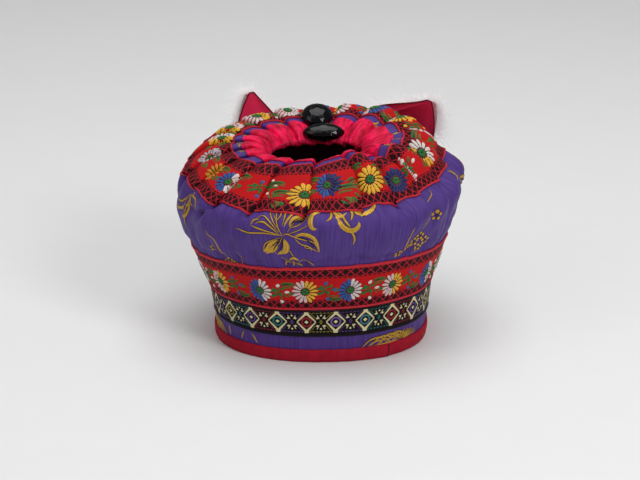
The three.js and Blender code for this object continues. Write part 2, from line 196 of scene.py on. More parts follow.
def gather_lift(azimuth):
    """Height of the satin's gathers, round and with sharp creases between them."""
    degrees = (np.degrees(azimuth) - gathers[0]) % 360 + gathers[0]
    index = np.clip(np.searchsorted(gathers, degrees, side="right") - 1, 0, len(gathers) - 1)
    widths = np.diff(np.append(gathers, gathers[0] + 360))
    share = (degrees - gathers[index]) / widths[index]
    full = 0.12 + 0.2 * right_side(azimuth)
    return full * ((1 - np.abs(2 * share - 1) ** 2.2) ** 0.65 - 0.6)


def wrinkles(azimuth, station):
    """Height of the dents, folds, puckers and gathers at a place on the cloth."""
    total = 0
    for at, level, across, along, depth in swells:
        away = np.degrees(np.arctan2(np.sin(azimuth - math.radians(at)), np.cos(azimuth - math.radians(at))))
        total = total + depth * np.exp(-(away / across) ** 2 - ((station - level) / along) ** 2)
    for start, low, end, high, width, depth in folds:
        middle = math.radians((start + end) / 2)
        x = np.arctan2(np.sin(azimuth - middle), np.cos(azimuth - middle)) * puff_radius
        y = station * level_gap
        dx, dy = math.radians(end - start) * puff_radius, (high - low) * level_gap
        x0, y0 = -dx / 2, low * level_gap
        t = np.clip(((x - x0) * dx + (y - y0) * dy) / (dx * dx + dy * dy), 0, 1)
        away = np.hypot(x - x0 - t * dx, y - y0 - t * dy)
        total = total + depth * (1 - 0.6 * t) * np.exp(-(away / width) ** 2) * ease(station, 4.9, 5.3)
    puff = ease(station, 5.0, 6.0) * (1 - ease(station, 8.6, 9.4))
    sewn = np.exp(-((station - 5.35) / 0.35) ** 2)
    under_ring = np.exp(-((station - 8.5) / 0.5) ** 2)
    right = puff * np.cos(np.clip((np.degrees(azimuth) % 360 - 322) / 34, -1, 1) * math.pi / 2)
    strip = np.exp(-((station - 1.5) / 0.4) ** 2)
    sides = (1 - ease(station, 5, 6)) * ease(station, 0.8, 2)
    for height, where, pitch, lean, seed in [
        (0.9, puff, 34, 1.6, 3), (0.6, puff, 15, 2.4, 4), (0.5, sewn, 6.5, 1.0, 5), (0.7, under_ring, 8, 3.0, 6),
        (0.2, right, 3.2, 1.2, 7), (0.25, strip, 9, 1.5, 8), (0.25, sides, 40, 0.8, 9),
    ]:
        total = total + height * where * ripples(azimuth, station, pitch, lean, seed)
    return total + 2.6 * ease(station, 10.8, 12.2) * gather_lift(azimuth)


def on_cloth(azimuth, station, height=0.0):
    """A place on the pleated cloth or at a height off it, in metres, from azimuths in degrees."""
    azimuth, station, height = np.broadcast_arrays(np.radians(azimuth), np.asarray(station, float), height)
    index, share = pleat_at(azimuth)
    full = 1 + (0.35 + 1.3 * right_side(azimuth)) * ease(station, 9.2, 10.9) * (1 - 0.5 * ease(station, 12.2, 14.0))
    tall = at_level("pleat", station) * pleat_heights[index] * full
    roll = pleat_rolls[index]
    radius = np.linalg.norm(smooth_point(azimuth, station)[..., :2], axis=-1)
    reach = np.radians(pleat_laps[index]) * radius * ease(station, 8.0, 9.2)
    nearby = 0.01
    before, after = np.clip(share - nearby, 0, 1), np.clip(share + nearby, 0, 1)
    run = (after - before) * np.radians(pleat_widths[index]) * radius
    run = run + reach * (pleat_lap(after) - pleat_lap(before))
    climb = tall * (pleat_lift(after, roll) - pleat_lift(before, roll))
    length = np.hypot(run, climb)
    along = reach * pleat_lap(share) - height * climb / length
    up = tall * pleat_lift(share, roll) + height * run / length + wrinkles(azimuth, station)
    turned = azimuth + along / radius
    point = smooth_point(turned, station) + smooth_normal(turned, station) * up[..., None]
    point[..., 2] = np.where(station <= 0, 0, point[..., 2])
    point[..., 1] += centre_shift
    return point * metre


weld = 2e-6


def lay_grid(work, places, calc_uvs=True):
    """Adds a grid of faces with its corners at rows of places."""
    rows, columns = places.shape[:2]
    made = bmesh.ops.create_grid(work, x_segments=columns - 1, y_segments=rows - 1, size=0.5, calc_uvs=calc_uvs)
    for corner, place in zip(made["verts"], places.reshape(-1, 3).tolist()):
        corner.co = place


def made_object(work, name, finishes):
    """Closes the seams of a mesh in the making and turns it into a piece."""
    bmesh.ops.remove_doubles(work, verts=work.verts, dist=weld)
    for face in work.faces:
        face.smooth = True
    mesh = bpy.data.meshes.new(name)
    work.to_mesh(mesh)
    work.free()
    mesh.set_sharp_from_angle(angle=math.radians(60))
    for finish in finishes:
        mesh.materials.append(finish.material)
    piece = bpy.data.objects.new(name, mesh)
    bpy.context.scene.collection.objects.link(piece)
    return piece


# The columns of every ring of cloth stand closer together where a pleat turns over
pleat_shares = np.concatenate([np.linspace(0, 0.68, 11, endpoint=False), np.linspace(0.68, 1, 11, endpoint=False)])
ring_azimuths = pleat_starts[:, None] + pleat_shares * pleat_widths[:, None]
ring_azimuths = np.append(ring_azimuths.ravel(), pleat_starts[0] + 360)
all_round = np.zeros(len(ring_azimuths))


def cloth_ring(name, stations, heights, finishes, across=None, slots=None, fullness=1.0):
    """A closed ring of cloth round the hat from its outline, rows of stations and of heights off the cloth.
    Its map runs in degrees round the hat, times the fullness of what is gathered into it, and in the values
    of across over the outline."""
    stations, heights = (np.asarray(rows, float).reshape(len(rows), -1) for rows in (stations, heights))
    stations, heights = (np.concatenate([rows, rows[:1]]) for rows in (stations, heights))
    work = bmesh.new()
    cloth_map = work.loops.layers.uv.new("cloth")
    lay_grid(work, on_cloth(ring_azimuths[None, :], stations, heights))
    last_row, last_column = len(stations) - 1, len(ring_azimuths) - 1
    across = np.linspace(0, 1, last_row + 1) if across is None else np.append(across, across[0])
    for face in work.faces:
        row = min(int(min(corner[cloth_map].uv.y for corner in face.loops) * last_row + 0.5), last_row - 1)
        face.material_index = slots[row] if slots else 0
        for corner in face.loops:
            u, v = corner[cloth_map].uv
            corner[cloth_map].uv = (ring_azimuths[round(u * last_column)] * fullness, across[round(v * last_row)])
    return made_object(work, name, finishes)


class Strand:
    """A value in a finish, which can stand in an expression."""

    def __init__(self, finish, socket):
        self.finish, self.socket = finish, socket

    def maths(self, operation, *values):
        return self.finish.node("ShaderNodeMath", {"operation": operation}, dict(enumerate(values)))

    def __add__(self, other):
        return self.maths("ADD", self, other)

    __radd__ = __add__

    def __sub__(self, other):
        return self.maths("SUBTRACT", self, other)

    def __rsub__(self, other):
        return self.maths("SUBTRACT", other, self)

    def __mul__(self, other):
        return self.maths("MULTIPLY", self, other)

    __rmul__ = __mul__

    def __truediv__(self, other):
        return self.maths("DIVIDE", self, other)

    def __mod__(self, other):
        return self.maths("FLOORED_MODULO", self, other)

    def __lt__(self, other):
        return self.maths("LESS_THAN", self, other)

    def __gt__(self, other):
        return self.maths("GREATER_THAN", self, other)

    def __abs__(self):
        return self.maths("ABSOLUTE", self)

    def floor(self):
        return self.maths("FLOOR", self)

    def sine(self):
        return self.maths("SINE", self)

    def least(self, other):
        return self.maths("MINIMUM", self, other)

    def most(self, other):
        return self.maths("MAXIMUM", self, other)


def dye(red, green, blue):
    """A colour from 0 to 255 as the eye reads it, in the values that a finish takes."""
    return tuple((c / 255) ** 2.2 for c in (red, green, blue)) + (1,)


class Finish:
    """A material and the nodes that make it."""

    def __init__(self, name, **fixed):
        self.material = bpy.data.materials.new(name)
        self.material.use_nodes = True
        self.tree = self.material.node_tree
        self.surface = self.tree.nodes["Principled BSDF"]
        for socket, value in fixed.items():
            self.surface.inputs[socket.replace("_", " ")].default_value = value

    def feed(self, socket, value):
        if isinstance(value, Strand):
            self.tree.links.new(value.socket, socket)
        else:
            socket.default_value = value

    def node(self, kind, settings=None, values=None, output=0):
        made = self.tree.nodes.new(kind)
        for name, value in (settings or {}).items():
            if name == "stops":
                made.color_ramp.interpolation = "CONSTANT"
                for k, (place, colour) in enumerate(value):
                    stop = made.color_ramp.elements[k] if k < 2 else made.color_ramp.elements.new(place)
                    stop.position, stop.color = place, colour
            else:
                setattr(made, name, value)
        for socket, value in (values or {}).items():
            self.feed(made.inputs[socket], value)
        return Strand(self, made.outputs[output])

    def mapped(self, name="cloth"):
        """Both values of the piece's own map."""
        place = self.node("ShaderNodeUVMap", {"uv_map": name})
        return (self.node("ShaderNodeSeparateXYZ", values={0: place}, output=k) for k in range(2))

    def mix(self, share, first, second):
        return self.node("ShaderNodeMix", {"data_type": "RGBA"}, {0: share, 6: first, 7: second}, 2)

    def grain(self, x, y, size=1.0, detail=2.0):
        """Soft uneven noise from 0 to 1 over two values."""
        place = self.node("ShaderNodeCombineXYZ", values={0: x, 1: y})
        return self.node("ShaderNodeTexNoise", values={"Vector": place, "Scale": size, "Detail": detail})

    def solid_grain(self, size, detail=2.0):
        """Soft uneven noise from 0 to 1 through the piece, in metres."""
        place = self.node("ShaderNodeTexCoord", output=3)
        return self.node("ShaderNodeTexNoise", values={"Vector": place, "Scale": size, "Detail": detail})

    def show(self, **linked):
        for socket, value in linked.items():
            self.feed(self.surface.inputs[socket.replace("_", " ")], value)

    def relief(self, height, strength=0.4, distance=0.0004):
        bump = {"Height": height, "Strength": strength, "Distance": distance}
        self.show(Normal=self.node("ShaderNodeBump", values=bump))


mm_per_degree = 1.27  # of cloth round the shoulder, where the pattern is widest

brocade = Finish("brocade", Sheen_Weight=0.03, Sheen_Roughness=0.4, Specular_IOR_Level=0.16)
around, up_cloth = brocade.mapped()
around = around * mm_per_degree
# Painted sheen: the long streak noise lightens and darkens the purple in silky streaks, and also varies its roughness
# and relief.
sheen_streak = brocade.grain(around * 0.9, up_cloth * 0.05, 1.0, 3.0)
patch = brocade.grain(around * 0.05, up_cloth * 0.05, 1.0, 2.0)
twill = (around * 9.0 + up_cloth * 9.0).sine() * 0.5 + 0.5
weft = (up_cloth * 12.0).sine() * 0.5 + 0.5
ground = brocade.mix(sheen_streak, dye(46, 29, 82), dye(104, 76, 158))
ground = brocade.mix(patch * 0.35, ground, dye(62, 40, 112))
brocade.show(Base_Color=brocade.mix(twill * 0.12, ground, dye(40, 26, 84)), Roughness=0.42 + 0.2 * sheen_streak)
brocade.relief(twill * 0.35 + weft * 0.25 + sheen_streak * 0.6, 0.35, 0.0003)

lining = Finish("lining", Roughness=0.9)
around, up_cloth = lining.mapped()
lining_weave = (around * 11.0).sine() * (up_cloth * 9.0).sine()
# The lining's dark colour is painted shade, the shade that falls inside the crown.
lining.show(Base_Color=lining.mix(lining_weave * 0.5 + 0.5, dye(72, 30, 44), dye(104, 48, 66)))
lining.relief(lining_weave, 0.5, 0.0003)

crown_hem, crown_top, crown_wall = 0.22, 13.6, 1.2
outside_rows = np.concatenate([
    np.linspace(crown_hem, 5, 24), np.linspace(5.08, 9, 46), np.linspace(9.15, crown_top, 32),
])
inside_rows = np.linspace(crown_top, crown_hem, 26)
crown_rows = np.concatenate([outside_rows, inside_rows])
rise, inward = (np.diff(levels[:, level_columns.index(column)]) for column in ("height", "near"))
crown = cloth_ring(
    "crown_cloth",
    crown_rows,
    np.repeat([0, -crown_wall], [len(outside_rows), len(inside_rows)]),
    [brocade, lining],
    across=np.interp(crown_rows, range(len(levels)), np.append(0, np.cumsum(np.hypot(rise, inward)))),
    slots=[0] * (len(outside_rows) - 1) + [1] * (len(inside_rows) + 1),
)
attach(crown, "root")
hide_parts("crown")

# ---------------------------------------------------------------- gold figures of the brocade
# Sprays of leaves, hooked chrysanthemum petals and plum blossom, woven into the purple with gold thread
# that stands a little off it. They repeat round the hat with the width of the cloth.


def catmull(points, pieces):
    """A smooth curve through the points, in that many pieces."""
    points = np.asarray(points, float)
    padded = np.concatenate([2 * points[:1] - points[1:2], points, 2 * points[-1:] - points[-2:-1]])
    t = np.linspace(0, len(points) - 1, pieces + 1)
    index = np.minimum(t.astype(int), len(points) - 2)
    t = (t - index)[:, None]
    a, b, c, d = (padded[index + k] for k in range(4))
    return b + 0.5 * t * (c - a + t * (2 * a - 5 * b + 4 * c - d + t * (3 * (b - c) + d - a)))


class Spot:
    """A place on the cloth, from which a motif is laid out in millimetres along and up the cloth."""

    def __init__(self, azimuth, station, scale=1.0, turned=0.0, mirrored=False):
        self.azimuth, self.scale, self.turned = azimuth, scale, math.radians(turned)
        self.side = -1 if mirrored else 1
        self.stations = np.linspace(0, len(levels) - 1, 281)
        line = smooth_point(np.full(len(self.stations), math.radians(azimuth)), self.stations)
        self.reach = np.append(0, np.cumsum(np.linalg.norm(np.diff(line, axis=0), axis=1)))
        self.reach -= np.interp(station, self.stations, self.reach)

    def place(self, along, up):
        along, up = along * self.scale * self.side, up * self.scale
        c, s = math.cos(self.turned), math.sin(self.turned)
        along, up = along * c - up * s, along * s + up * c
        station = np.interp(up, self.reach, self.stations)
        flat = smooth_point(np.full(station.shape, math.radians(self.azimuth)), station)
        return self.azimuth + np.degrees(along / np.linalg.norm(flat[..., :2], axis=-1)), station


class Needlework:
    """Raised threads that are worked on the cloth and end up in one piece."""

    def __init__(self):
        self.worked = []

    def stroke(self, spot, line, width, height=0.35, slot=0, blunt=0.5, base=0.05, sides=6, pieces=8):
        """A closed flattened thread along a curve; blunt is 0 for pointed ends and 1 for square ones."""
        middle = catmull(line, pieces)
        run = np.gradient(middle, axis=0)
        run /= np.maximum(np.linalg.norm(run, axis=1, keepdims=True), 1e-9)
        t = np.linspace(0, 1, pieces + 1)
        full = np.maximum(np.sin(math.pi * t), 0) ** (1 - 0.85 * blunt)
        full[0] = full[-1] = 0
        turn = np.linspace(0, 2 * math.pi, sides + 1)[:, None]
        side = -np.cos(turn) * full * width
        along = middle[:, 0] - run[:, 1] * side
        up = middle[:, 1] + run[:, 0] * side
        azimuth, station = spot.place(along, up)
        flip = -1 if spot.side < 0 else 1
        self.worked.append((azimuth[::flip], station[::flip], (base + height * np.sin(turn) * full)[::flip], slot))

    def piece(self, name, finishes):
        """All the threads as one piece, each with the finish of its slot."""
        places = on_cloth(*(np.concatenate([worked[k].ravel() for worked in self.worked]) for k in range(3)))
        work, first = bmesh.new(), 0
        work.loops.layers.uv.new("cloth")
        for azimuth, _, _, slot in self.worked:
            faces = len(work.faces)
            lay_grid(work, places[first:first + azimuth.size].reshape(*azimuth.shape, 3))
            first += azimuth.size
            if slot:
                work.faces.ensure_lookup_table()
                for face in work.faces[faces:]:
                    face.material_index = slot
        return made_object(work, name, finishes)


def thread(name, colour, shade, lustre=0.4, metal=0.0):
    """A lustrous thread with fine strands along it."""
    finish = Finish(name, Metallic=metal, Specular_IOR_Level=0.25)
    across, strand = finish.mapped()
    ridge = (strand * 44.0).sine() * 0.5 + 0.5
    blotch = finish.solid_grain(900.0)
    # The colour and its shade are lit and shaded copies of the thread: the ridges lay painted shade between the
    # strands, and the blotches vary the tone at random.
    finish.show(Base_Color=finish.mix(ridge * 0.55 + blotch * 0.45, shade, colour), Roughness=lustre + 0.2 * blotch)
    finish.relief(ridge, 0.5, 0.0002)
    return finish


gold_thread = thread("gold_thread", dye(226, 178, 66), dye(128, 92, 32), 0.3, 0.35)
dark_thread = thread("dark_thread", dye(44, 26, 58), dye(24, 12, 36), 0.6)
gold = Needlework()

leaf_spray = [
    # line, half width
    ([(-26.5, 1), (-22, 0.2), (-18.5, 0), (-9.5, 1), (0, 0)], 0.55),
    ([(-6.3, 19), (-7.2, 12), (-5.5, 7.5), (-2.6, 4)], 0.38),
    ([(-6.2, 12.5), (-3.6, 7.5), (-2.0, 10.5), (-5.4, 18)], 0.34),
    ([(-6, 19.4), (-0.6, 15.8), (2.2, 10.8), (0.6, 4.5)], 0.85),
    ([(-4.6, 17), (-1.2, 12.5), (0.2, 8), (-0.4, 5)], 0.36),
    ([(0, 0), (-2.2, 4), (-3.6, 8), (-5.6, 18)], 0.42),
    ([(-15.8, 7), (-11.4, 9.4), (-7, 6.9), (-1.8, 1.9)], 0.42),
    ([(-17, 4.2), (-13.6, 3.4), (-7, 1.9), (0, 0.2)], 0.45),
    ([(-15, 5.4), (-10.4, 6.4), (-6, 4.2), (-2, 1.2)], 0.5),
    ([(-17, 4.4), (-15.8, 7), (-12.5, 7.6)], 0.6),
    ([(2, 1.5), (5, 6.5), (7, 10), (12, 12.5)], 0.35),
    ([(3.5, 4.5), (4, 8.5), (7.5, 11.5), (12, 12.5)], 1.0),
    ([(3.5, 4.5), (7, 5.5), (9.5, 8.5), (12, 12.5)], 0.45),
    ([(0, 0), (2, 1), (8.5, -2), (16, -4.5), (18.5, -11)], 0.45),
    ([(6, -0.5), (11, 0.6), (16.5, -2.5), (18.5, -11)], 1.15),
    ([(6, -1.4), (9, -5.5), (13, -7), (18.5, -11)], 0.5),
    ([(11, -5.5), (11.5, -8), (14, -8), (14.5, -10)], 0.4),
    ([(0, 0), (-2, -5), (-5, -9), (-3.5, -13.5)], 0.4),
    ([(0.5, -2), (1.6, -7), (0.5, -11), (-3.5, -13.5)], 1.7),
    ([(-0.5, -1), (-5.5, -3), (-9.5, -6), (-10.5, -11.5)], 0.45),
    ([(-1.5, -2.5), (-6, -5.5), (-8, -9), (-10.5, -11.5)], 1.5),
    ([(-3, -4), (-5.5, -8), (-6.5, -10.5), (-9.5, -12.5)], 1.2),
    ([(-3, -6.5), (-4.5, -9.5), (-6.5, -12)], 1.1),
    ([(2, 1), (7, 2.5), (13, 6)], 0.35),
    ([(1.5, -7), (4.5, -12.5), (5, -14.5)], 0.35),
    ([(3.5, -17.5), (0.5, -19), (-1.5, -15.5)], 0.7),
    ([(6.5, -19), (11.5, -17), (14.5, -23.5)], 0.7),
    ([(3.5, -20), (0.5, -21), (0, -23.5)], 0.6),
    ([(5, -20), (7, -21), (8.5, -23.5)], 0.6),
    ([(2.5, -16.5), (5, -15), (7.5, -16.8)], 0.9),
    ([(4, -17.5), (4.5, -20), (4, -23)], 0.7),
]
leaf_veins = [
    [(0, 0), (-3.5, -4.5), (-7.5, -9)], [(0, -1), (-0.6, -6), (-2.5, -11.5)], [(-1, -3), (-4, -7), (-5.5, -11)],
    [(8, -0.8), (13, -3), (16.5, -8)], [(4, 5.5), (7, 9), (10.5, 11.6)],
]
chrysanthemum = [
    ([(-1, 0), (-3.5, -3), (-6.5, -3), (-7, -1)], 0.7),
    ([(-2, -1.5), (-6, -4.5), (-9, -6.5), (-10, -10.5), (-9, -14), (-6.5, -14)], 1.3),
    ([(0.5, -1), (1, -5), (0.5, -9), (-2, -10.5)], 0.7),
    ([(0, 0), (1, -0.5), (3, -7), (5.5, -9), (7.5, -7)], 0.75),
    ([(2, -4), (4, -10), (7, -14), (11, -15.5), (14, -13.5), (14, -11.5)], 1.35),
    ([(3, -5), (6.5, -9.5), (8.5, -12), (10, -13.5)], 0.6),
    ([(5, -2), (9.5, -7), (10.5, -9.5), (10, -10.5)], 0.6),
    ([(5, -1), (10, -5.5), (13.5, -7.5), (18.5, -7.5), (22.5, -6), (24, -4), (24.2, -1)], 1.2),
    ([(6, -0.5), (13, -3.5), (16.5, -2.5), (18.5, -1)], 0.8),
    ([(2, -0.4), (4.5, -1), (7.5, -3.5), (10.5, -3)], 0.7),
    ([(9, -14.5), (11, -16.5), (12.5, -20.5), (12, -24.5)], 0.65),
]


def outlined(spot, line, width, edge=0.22, pieces=12, **ends):
    """A gold thread on a wider dark one."""
    gold.stroke(spot, line, width + edge, height=0.2, slot=1, base=0.02, pieces=pieces, **ends)
    gold.stroke(spot, line, width, pieces=pieces, **ends)


for motif, veins, spots in [
    # spots: azimuth, station, scale, turned, mirrored
    (leaf_spray, leaf_veins, [(255.5, 7.26, 1.0, 0, False), (80, 7.3, 1.0, 8, False), (172, 6.9, 0.9, -14, True),
                              (12, 7.0, 0.9, 20, True)]),
    (chrysanthemum, [], [(274, 9.3, 1.0, 0, False), (112, 8.6, 1.0, 0, False), (202, 8.4, 0.8, 30, True),
                         (44, 8.5, 0.9, -10, False)]),
]:
    for place in spots:
        spot = Spot(*place)
        for line, width in motif:
            outlined(spot, line, width)
        for line in veins:
            gold.stroke(spot, line, 0.3, height=0.3, slot=1, base=0.3)


def plum_blossom(spot, x, y):
    """Five round petals, each a knot of gold, round a small dark heart."""
    for k in range(5):
        angle = math.radians(90 + 72 * k)
        cx, cy = x + 2.2 * math.cos(angle), y + 2.2 * math.sin(angle)
        gold.stroke(spot, [(cx - 1.4, cy), (cx + 1.4, cy)], 1.35, height=0.2, slot=1, blunt=0.7, base=0.02, pieces=5)
        gold.stroke(spot, [(cx - 1.1, cy), (cx + 1.1, cy)], 1.1, blunt=0.7, pieces=5)
    gold.stroke(spot, [(x - 0.6, y), (x + 0.6, y)], 0.6, slot=1, blunt=0.7, pieces=4)


for azimuth, station, mirrored in [(318, 7.4, False), (136, 7.2, True), (60, 7.0, True), (226, 6.0, True)]:
    spot = Spot(azimuth, station, 1.0 if azimuth == 318 else 0.8, 0, mirrored)
    gold.stroke(spot, [(7.6, 14), (6.5, 11), (0.8, 8), (-2.6, -2), (-4.8, -8)], 0.35, pieces=14)
    gold.stroke(spot, [(-12, -3), (-14.5, -9), (-15.5, -20)], 0.35, pieces=10)
    for x, y in [(5.5, -1), (-4.8, -11.5), (-12.5, -18), (0, -15.5), (-4.5, -20), (-8.5, -14.5), (-18, -20.5)]:
        plum_blossom(spot, x, y)
spot = Spot(347, 8.5)
gold.stroke(spot, [(-1, 3), (3, 1), (4, -3), (1.5, -6)], 0.5, pieces=10)

# Broad fan and short strokes in the strip under the diamond ribbon
for azimuth in (313, 190, 125, 40):
    spot = Spot(azimuth, 1.32, mirrored=azimuth == 190)
    for k in range(9):
        angle = math.radians(10 + 15 * k)
        line = [(4 + 1.5 * math.cos(angle), -2.6), (4 + 6 * math.cos(angle), -2.4 + 4 * math.sin(angle)),
                (5 + 13 * math.cos(angle), -2.4 + 6.2 * math.sin(angle))]
        outlined(spot, line, 0.55, edge=0.3, pieces=8)
    for k in range(4):
        line = [(-22 + 5 * k, -3.6), (-17 + 5 * k, 1.4 + 0.6 * k), (-11 + 5 * k, 2.2), (-7 + 5 * k, -1.6)]
        outlined(spot, line, 0.75, edge=0.35, pieces=9)
        line = [(-18 + 5 * k, -3.2), (-15 + 5 * k, -0.6 + 0.4 * k), (-11 + 5 * k, 0.2), (-9 + 5 * k, -2.4)]
        gold.stroke(spot, line, 0.5, pieces=9)
    gold.stroke(spot, [(-14, -2.6), (-6, -3), (2, -2)], 0.9, pieces=9)
for azimuth, leaning in [(214, 1), (225, -1), (233.5, 2), (150, 2), (90, -2), (20, 1)]:
    gold.stroke(Spot(azimuth, 1.5), [(-leaning, 3), (0, 0.5), (leaning, -3)], 0.5, pieces=6)

# Bits of the figures that show between the ribbon ring and the satin band
for azimuth in (172, 180, 193, 158, 120, 100, 84, 62, 46, 343, 352, 330, 286, 279, 230, 10):
    spot = Spot(azimuth, 11.5, turned=azimuth * 7 % 90)
    gold.stroke(spot, [(-3, -1), (0, 1.2), (3, 0.2)], 0.5, pieces=6)
    gold.stroke(spot, [(-2, 1.6), (0.4, 2.4), (2.4, 1.8)], 0.4, pieces=6)

gold_figures = gold.piece("gold_figures", [gold_thread, dark_thread])
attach(gold_figures, "root")

# ---------------------------------------------------------------- rim binding
# A strip of red cotton, folded over the raw hem of the crown and sewn down inside and out. Its ends
# meet in a lapped seam at the near right, held by a few dark stitches.

binding_cotton = Finish("binding_cotton", Specular_IOR_Level=0.12)
around, across = binding_cotton.mapped()
cotton_weave = (around * 9.0).sine() * (across * 60.0).sine()
worn = binding_cotton.grain(around * 0.3, across * 3.0, 1.0, 4.0)
cotton = binding_cotton.mix(worn, dye(130, 16, 32), dye(190, 34, 56))
cotton = binding_cotton.mix(cotton_weave * 0.1 + 0.1, cotton, dye(100, 14, 28))
binding_cotton.show(Base_Color=cotton, Roughness=0.62 + 0.2 * worn)
binding_cotton.relief(cotton_weave * 0.5 + worn, 0.4, 0.0003)

binding_outline = [
    # station, height off the crown
    (0.0, 0.8), (0.05, 1.2), (0.2, 1.5), (0.45, 1.6), (0.7, 1.5), (0.88, 1.25), (0.97, 0.9), (1.0, 0.5), (0.98, 0.12),
    (0.16, 0.12), (0.16, -1.35), (0.84, -1.35), (0.87, -1.7), (0.8, -2.1), (0.3, -2.4), (0.0, -2.2),
]
outer_rows = 8
binding_stations, binding_heights = np.array(binding_outline).T
binding_heights = binding_heights[:, None] + all_round
seam_azimuth, lap = 307, 12
over_seam = ring_azimuths - seam_azimuth + lap
lapping = np.where(np.abs(over_seam - lap / 2) < lap / 2, over_seam / lap, 0)
binding_heights[:outer_rows] += 0.6 * lapping + 0.12 * ripples(np.radians(ring_azimuths), 0, 7, 0, 21)
rim_binding = cloth_ring("rim_binding_strip", binding_stations, binding_heights, [binding_cotton])
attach(rim_binding, "root")
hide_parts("rim_binding")

seam_stitches = Needlework()
for k in range(7):
    seam_stitches.stroke(Spot(seam_azimuth + 0.5, 0.1 + 0.13 * k), [(-0.6, -0.7), (0.6 - k % 2, 0.8)], 0.36,
                         height=0.4, base=1.7, pieces=4)
binding_stitches = seam_stitches.piece("binding_stitches", [dark_thread])
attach(binding_stitches, "root")

# ---------------------------------------------------------------- diamond band
# A black woven ribbon, sewn flat round the hat above the binding. Cream eyes stand 15 degrees apart,
# each round a coloured diamond, with crosses, dots and rows of small triangles between them.

ribbon_gap, ribbon_top = 0.12, 0.75


def ribbon(name, rows, finish, width, fullness=1.0):
    """A flat woven ribbon on the cloth over rows of stations. Its map runs over its width in millimetres."""
    share = np.linspace(0, width, len(rows))
    heights = np.repeat([ribbon_top, ribbon_gap], len(rows))
    return cloth_ring(name, np.concatenate([rows, rows[::-1]]), heights, [finish],
                      across=np.concatenate([share, share[::-1]]), fullness=fullness)


diamond_ribbon = Finish("diamond_ribbon", Specular_IOR_Level=0.15)
turned, across = diamond_ribbon.mapped()
eye_step, first_eye, eye_pitch = 15.0, 248.0, 16.6
eye = (turned - first_eye + eye_step / 2) / eye_step
x = ((eye % 1.0) - 0.5) * eye_pitch
y = across - 9.2
ax, ay = abs(x), abs(y)
field = ay < 6.4
outer_eye = ax / 5.7 + ay / 6.4
inner_eye = ax * ax / 10.5 + ay * ay / 9.0
wavy = outer_eye + 0.05 * (ay * 7.5).sine()
cream_ring = ((wavy < 1.0) * (ax / 4.9 + ay / 4.4 > 1.0)).most((ax < 1.2) * (ay > 4.6))
bx = abs(ax - eye_pitch / 2)
cross = (abs(bx - ay * 0.55) < 0.24) * (ay < 4.0) * (ay > 1.8)
dots = ((bx - 2.1) * (bx - 2.1) + (ay - 2.2) * (ay - 2.2) < 0.34).most(bx * bx + (ay - 3.9) * (ay - 3.9) < 0.3)
core = ax / 1.2 + ay < 1.0
ring = (inner_eye < 0.85) * (inner_eye > 0.4)
between = (bx + ay / 1.5 < 1.0) * (bx + ay / 1.5 > 0.4)
tooth = abs(((x + 100.0) / 2.08) % 1.0 - 0.5) * 2.0
teeth = (ay > 5.4) * (ay - 5.4 < tooth * 0.7) * (outer_eye > 1.12)
dashes = (abs(outer_eye - 1.24) < 0.035) * (ay < 5.0) * (ay > 1.8) * (bx > 1.6)
eye_colours = [dye(40, 112, 108), dye(150, 34, 48), dye(118, 92, 160), dye(66, 118, 134),
               dye(146, 32, 46), dye(96, 66, 136), dye(134, 124, 52), dye(92, 64, 130)]
eye_stops = {"stops": [(k / 8, colour) for k, colour in enumerate(eye_colours)]}
which_eye, which_next = (diamond_ribbon.node("ShaderNodeValToRGB", eye_stops, {0: (count % 8.0) / 8.0})
                         for count in (eye.floor() + 0.5, (eye + 0.5).floor() + 4.5))
cloth = diamond_ribbon.mix(teeth.most(dashes) * field, dye(22, 14, 20), which_next)
cloth = diamond_ribbon.mix(ring, cloth, which_eye)
cloth = diamond_ribbon.mix(between, cloth, which_next)
cream = cream_ring.most(cross * field).most(dots).most(core)
cloth = diamond_ribbon.mix(cream * field, cloth, dye(222, 210, 160))
weft = (turned * 1.11 * 14.0).sine() * 0.5 + 0.5
warp = (across * 12.0).sine() * 0.5 + 0.5
diamond_ribbon.show(Base_Color=diamond_ribbon.mix(weft * 0.22, cloth, dye(12, 8, 12)), Roughness=0.7 - 0.2 * cream)
diamond_ribbon.relief(weft * warp * 0.4 + cream * field * 0.8 + ring * 0.5, 0.5, 0.0003)

diamond_band = ribbon("diamond_ribbon_band", np.linspace(diamond_low, diamond_high, 12), diamond_ribbon, 17.6)
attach(diamond_band, "root")
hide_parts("diamond_band")

black_cord = thread("black_cord", dye(30, 22, 28), dye(12, 8, 12), 0.6)


def edge_cord(name, stations, radius, finish, sides=8, height=0.55):
    """A round cord along an edge of the cloth."""
    turn = np.linspace(0, 2 * math.pi, sides, endpoint=False)[:, None]
    stations = stations - radius / level_gap * np.cos(turn) + all_round
    cord = cloth_ring(name, stations, height + radius * np.sin(turn) + all_round, [finish])
    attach(cord, "root")


# ---------------------------------------------------------------- flower bands
# A red woven ribbon with embroidered daisies between two lattice borders, sewn flat round the hat. The
# same ribbon is sewn to the pleats above, where its edge stands out in scallops.

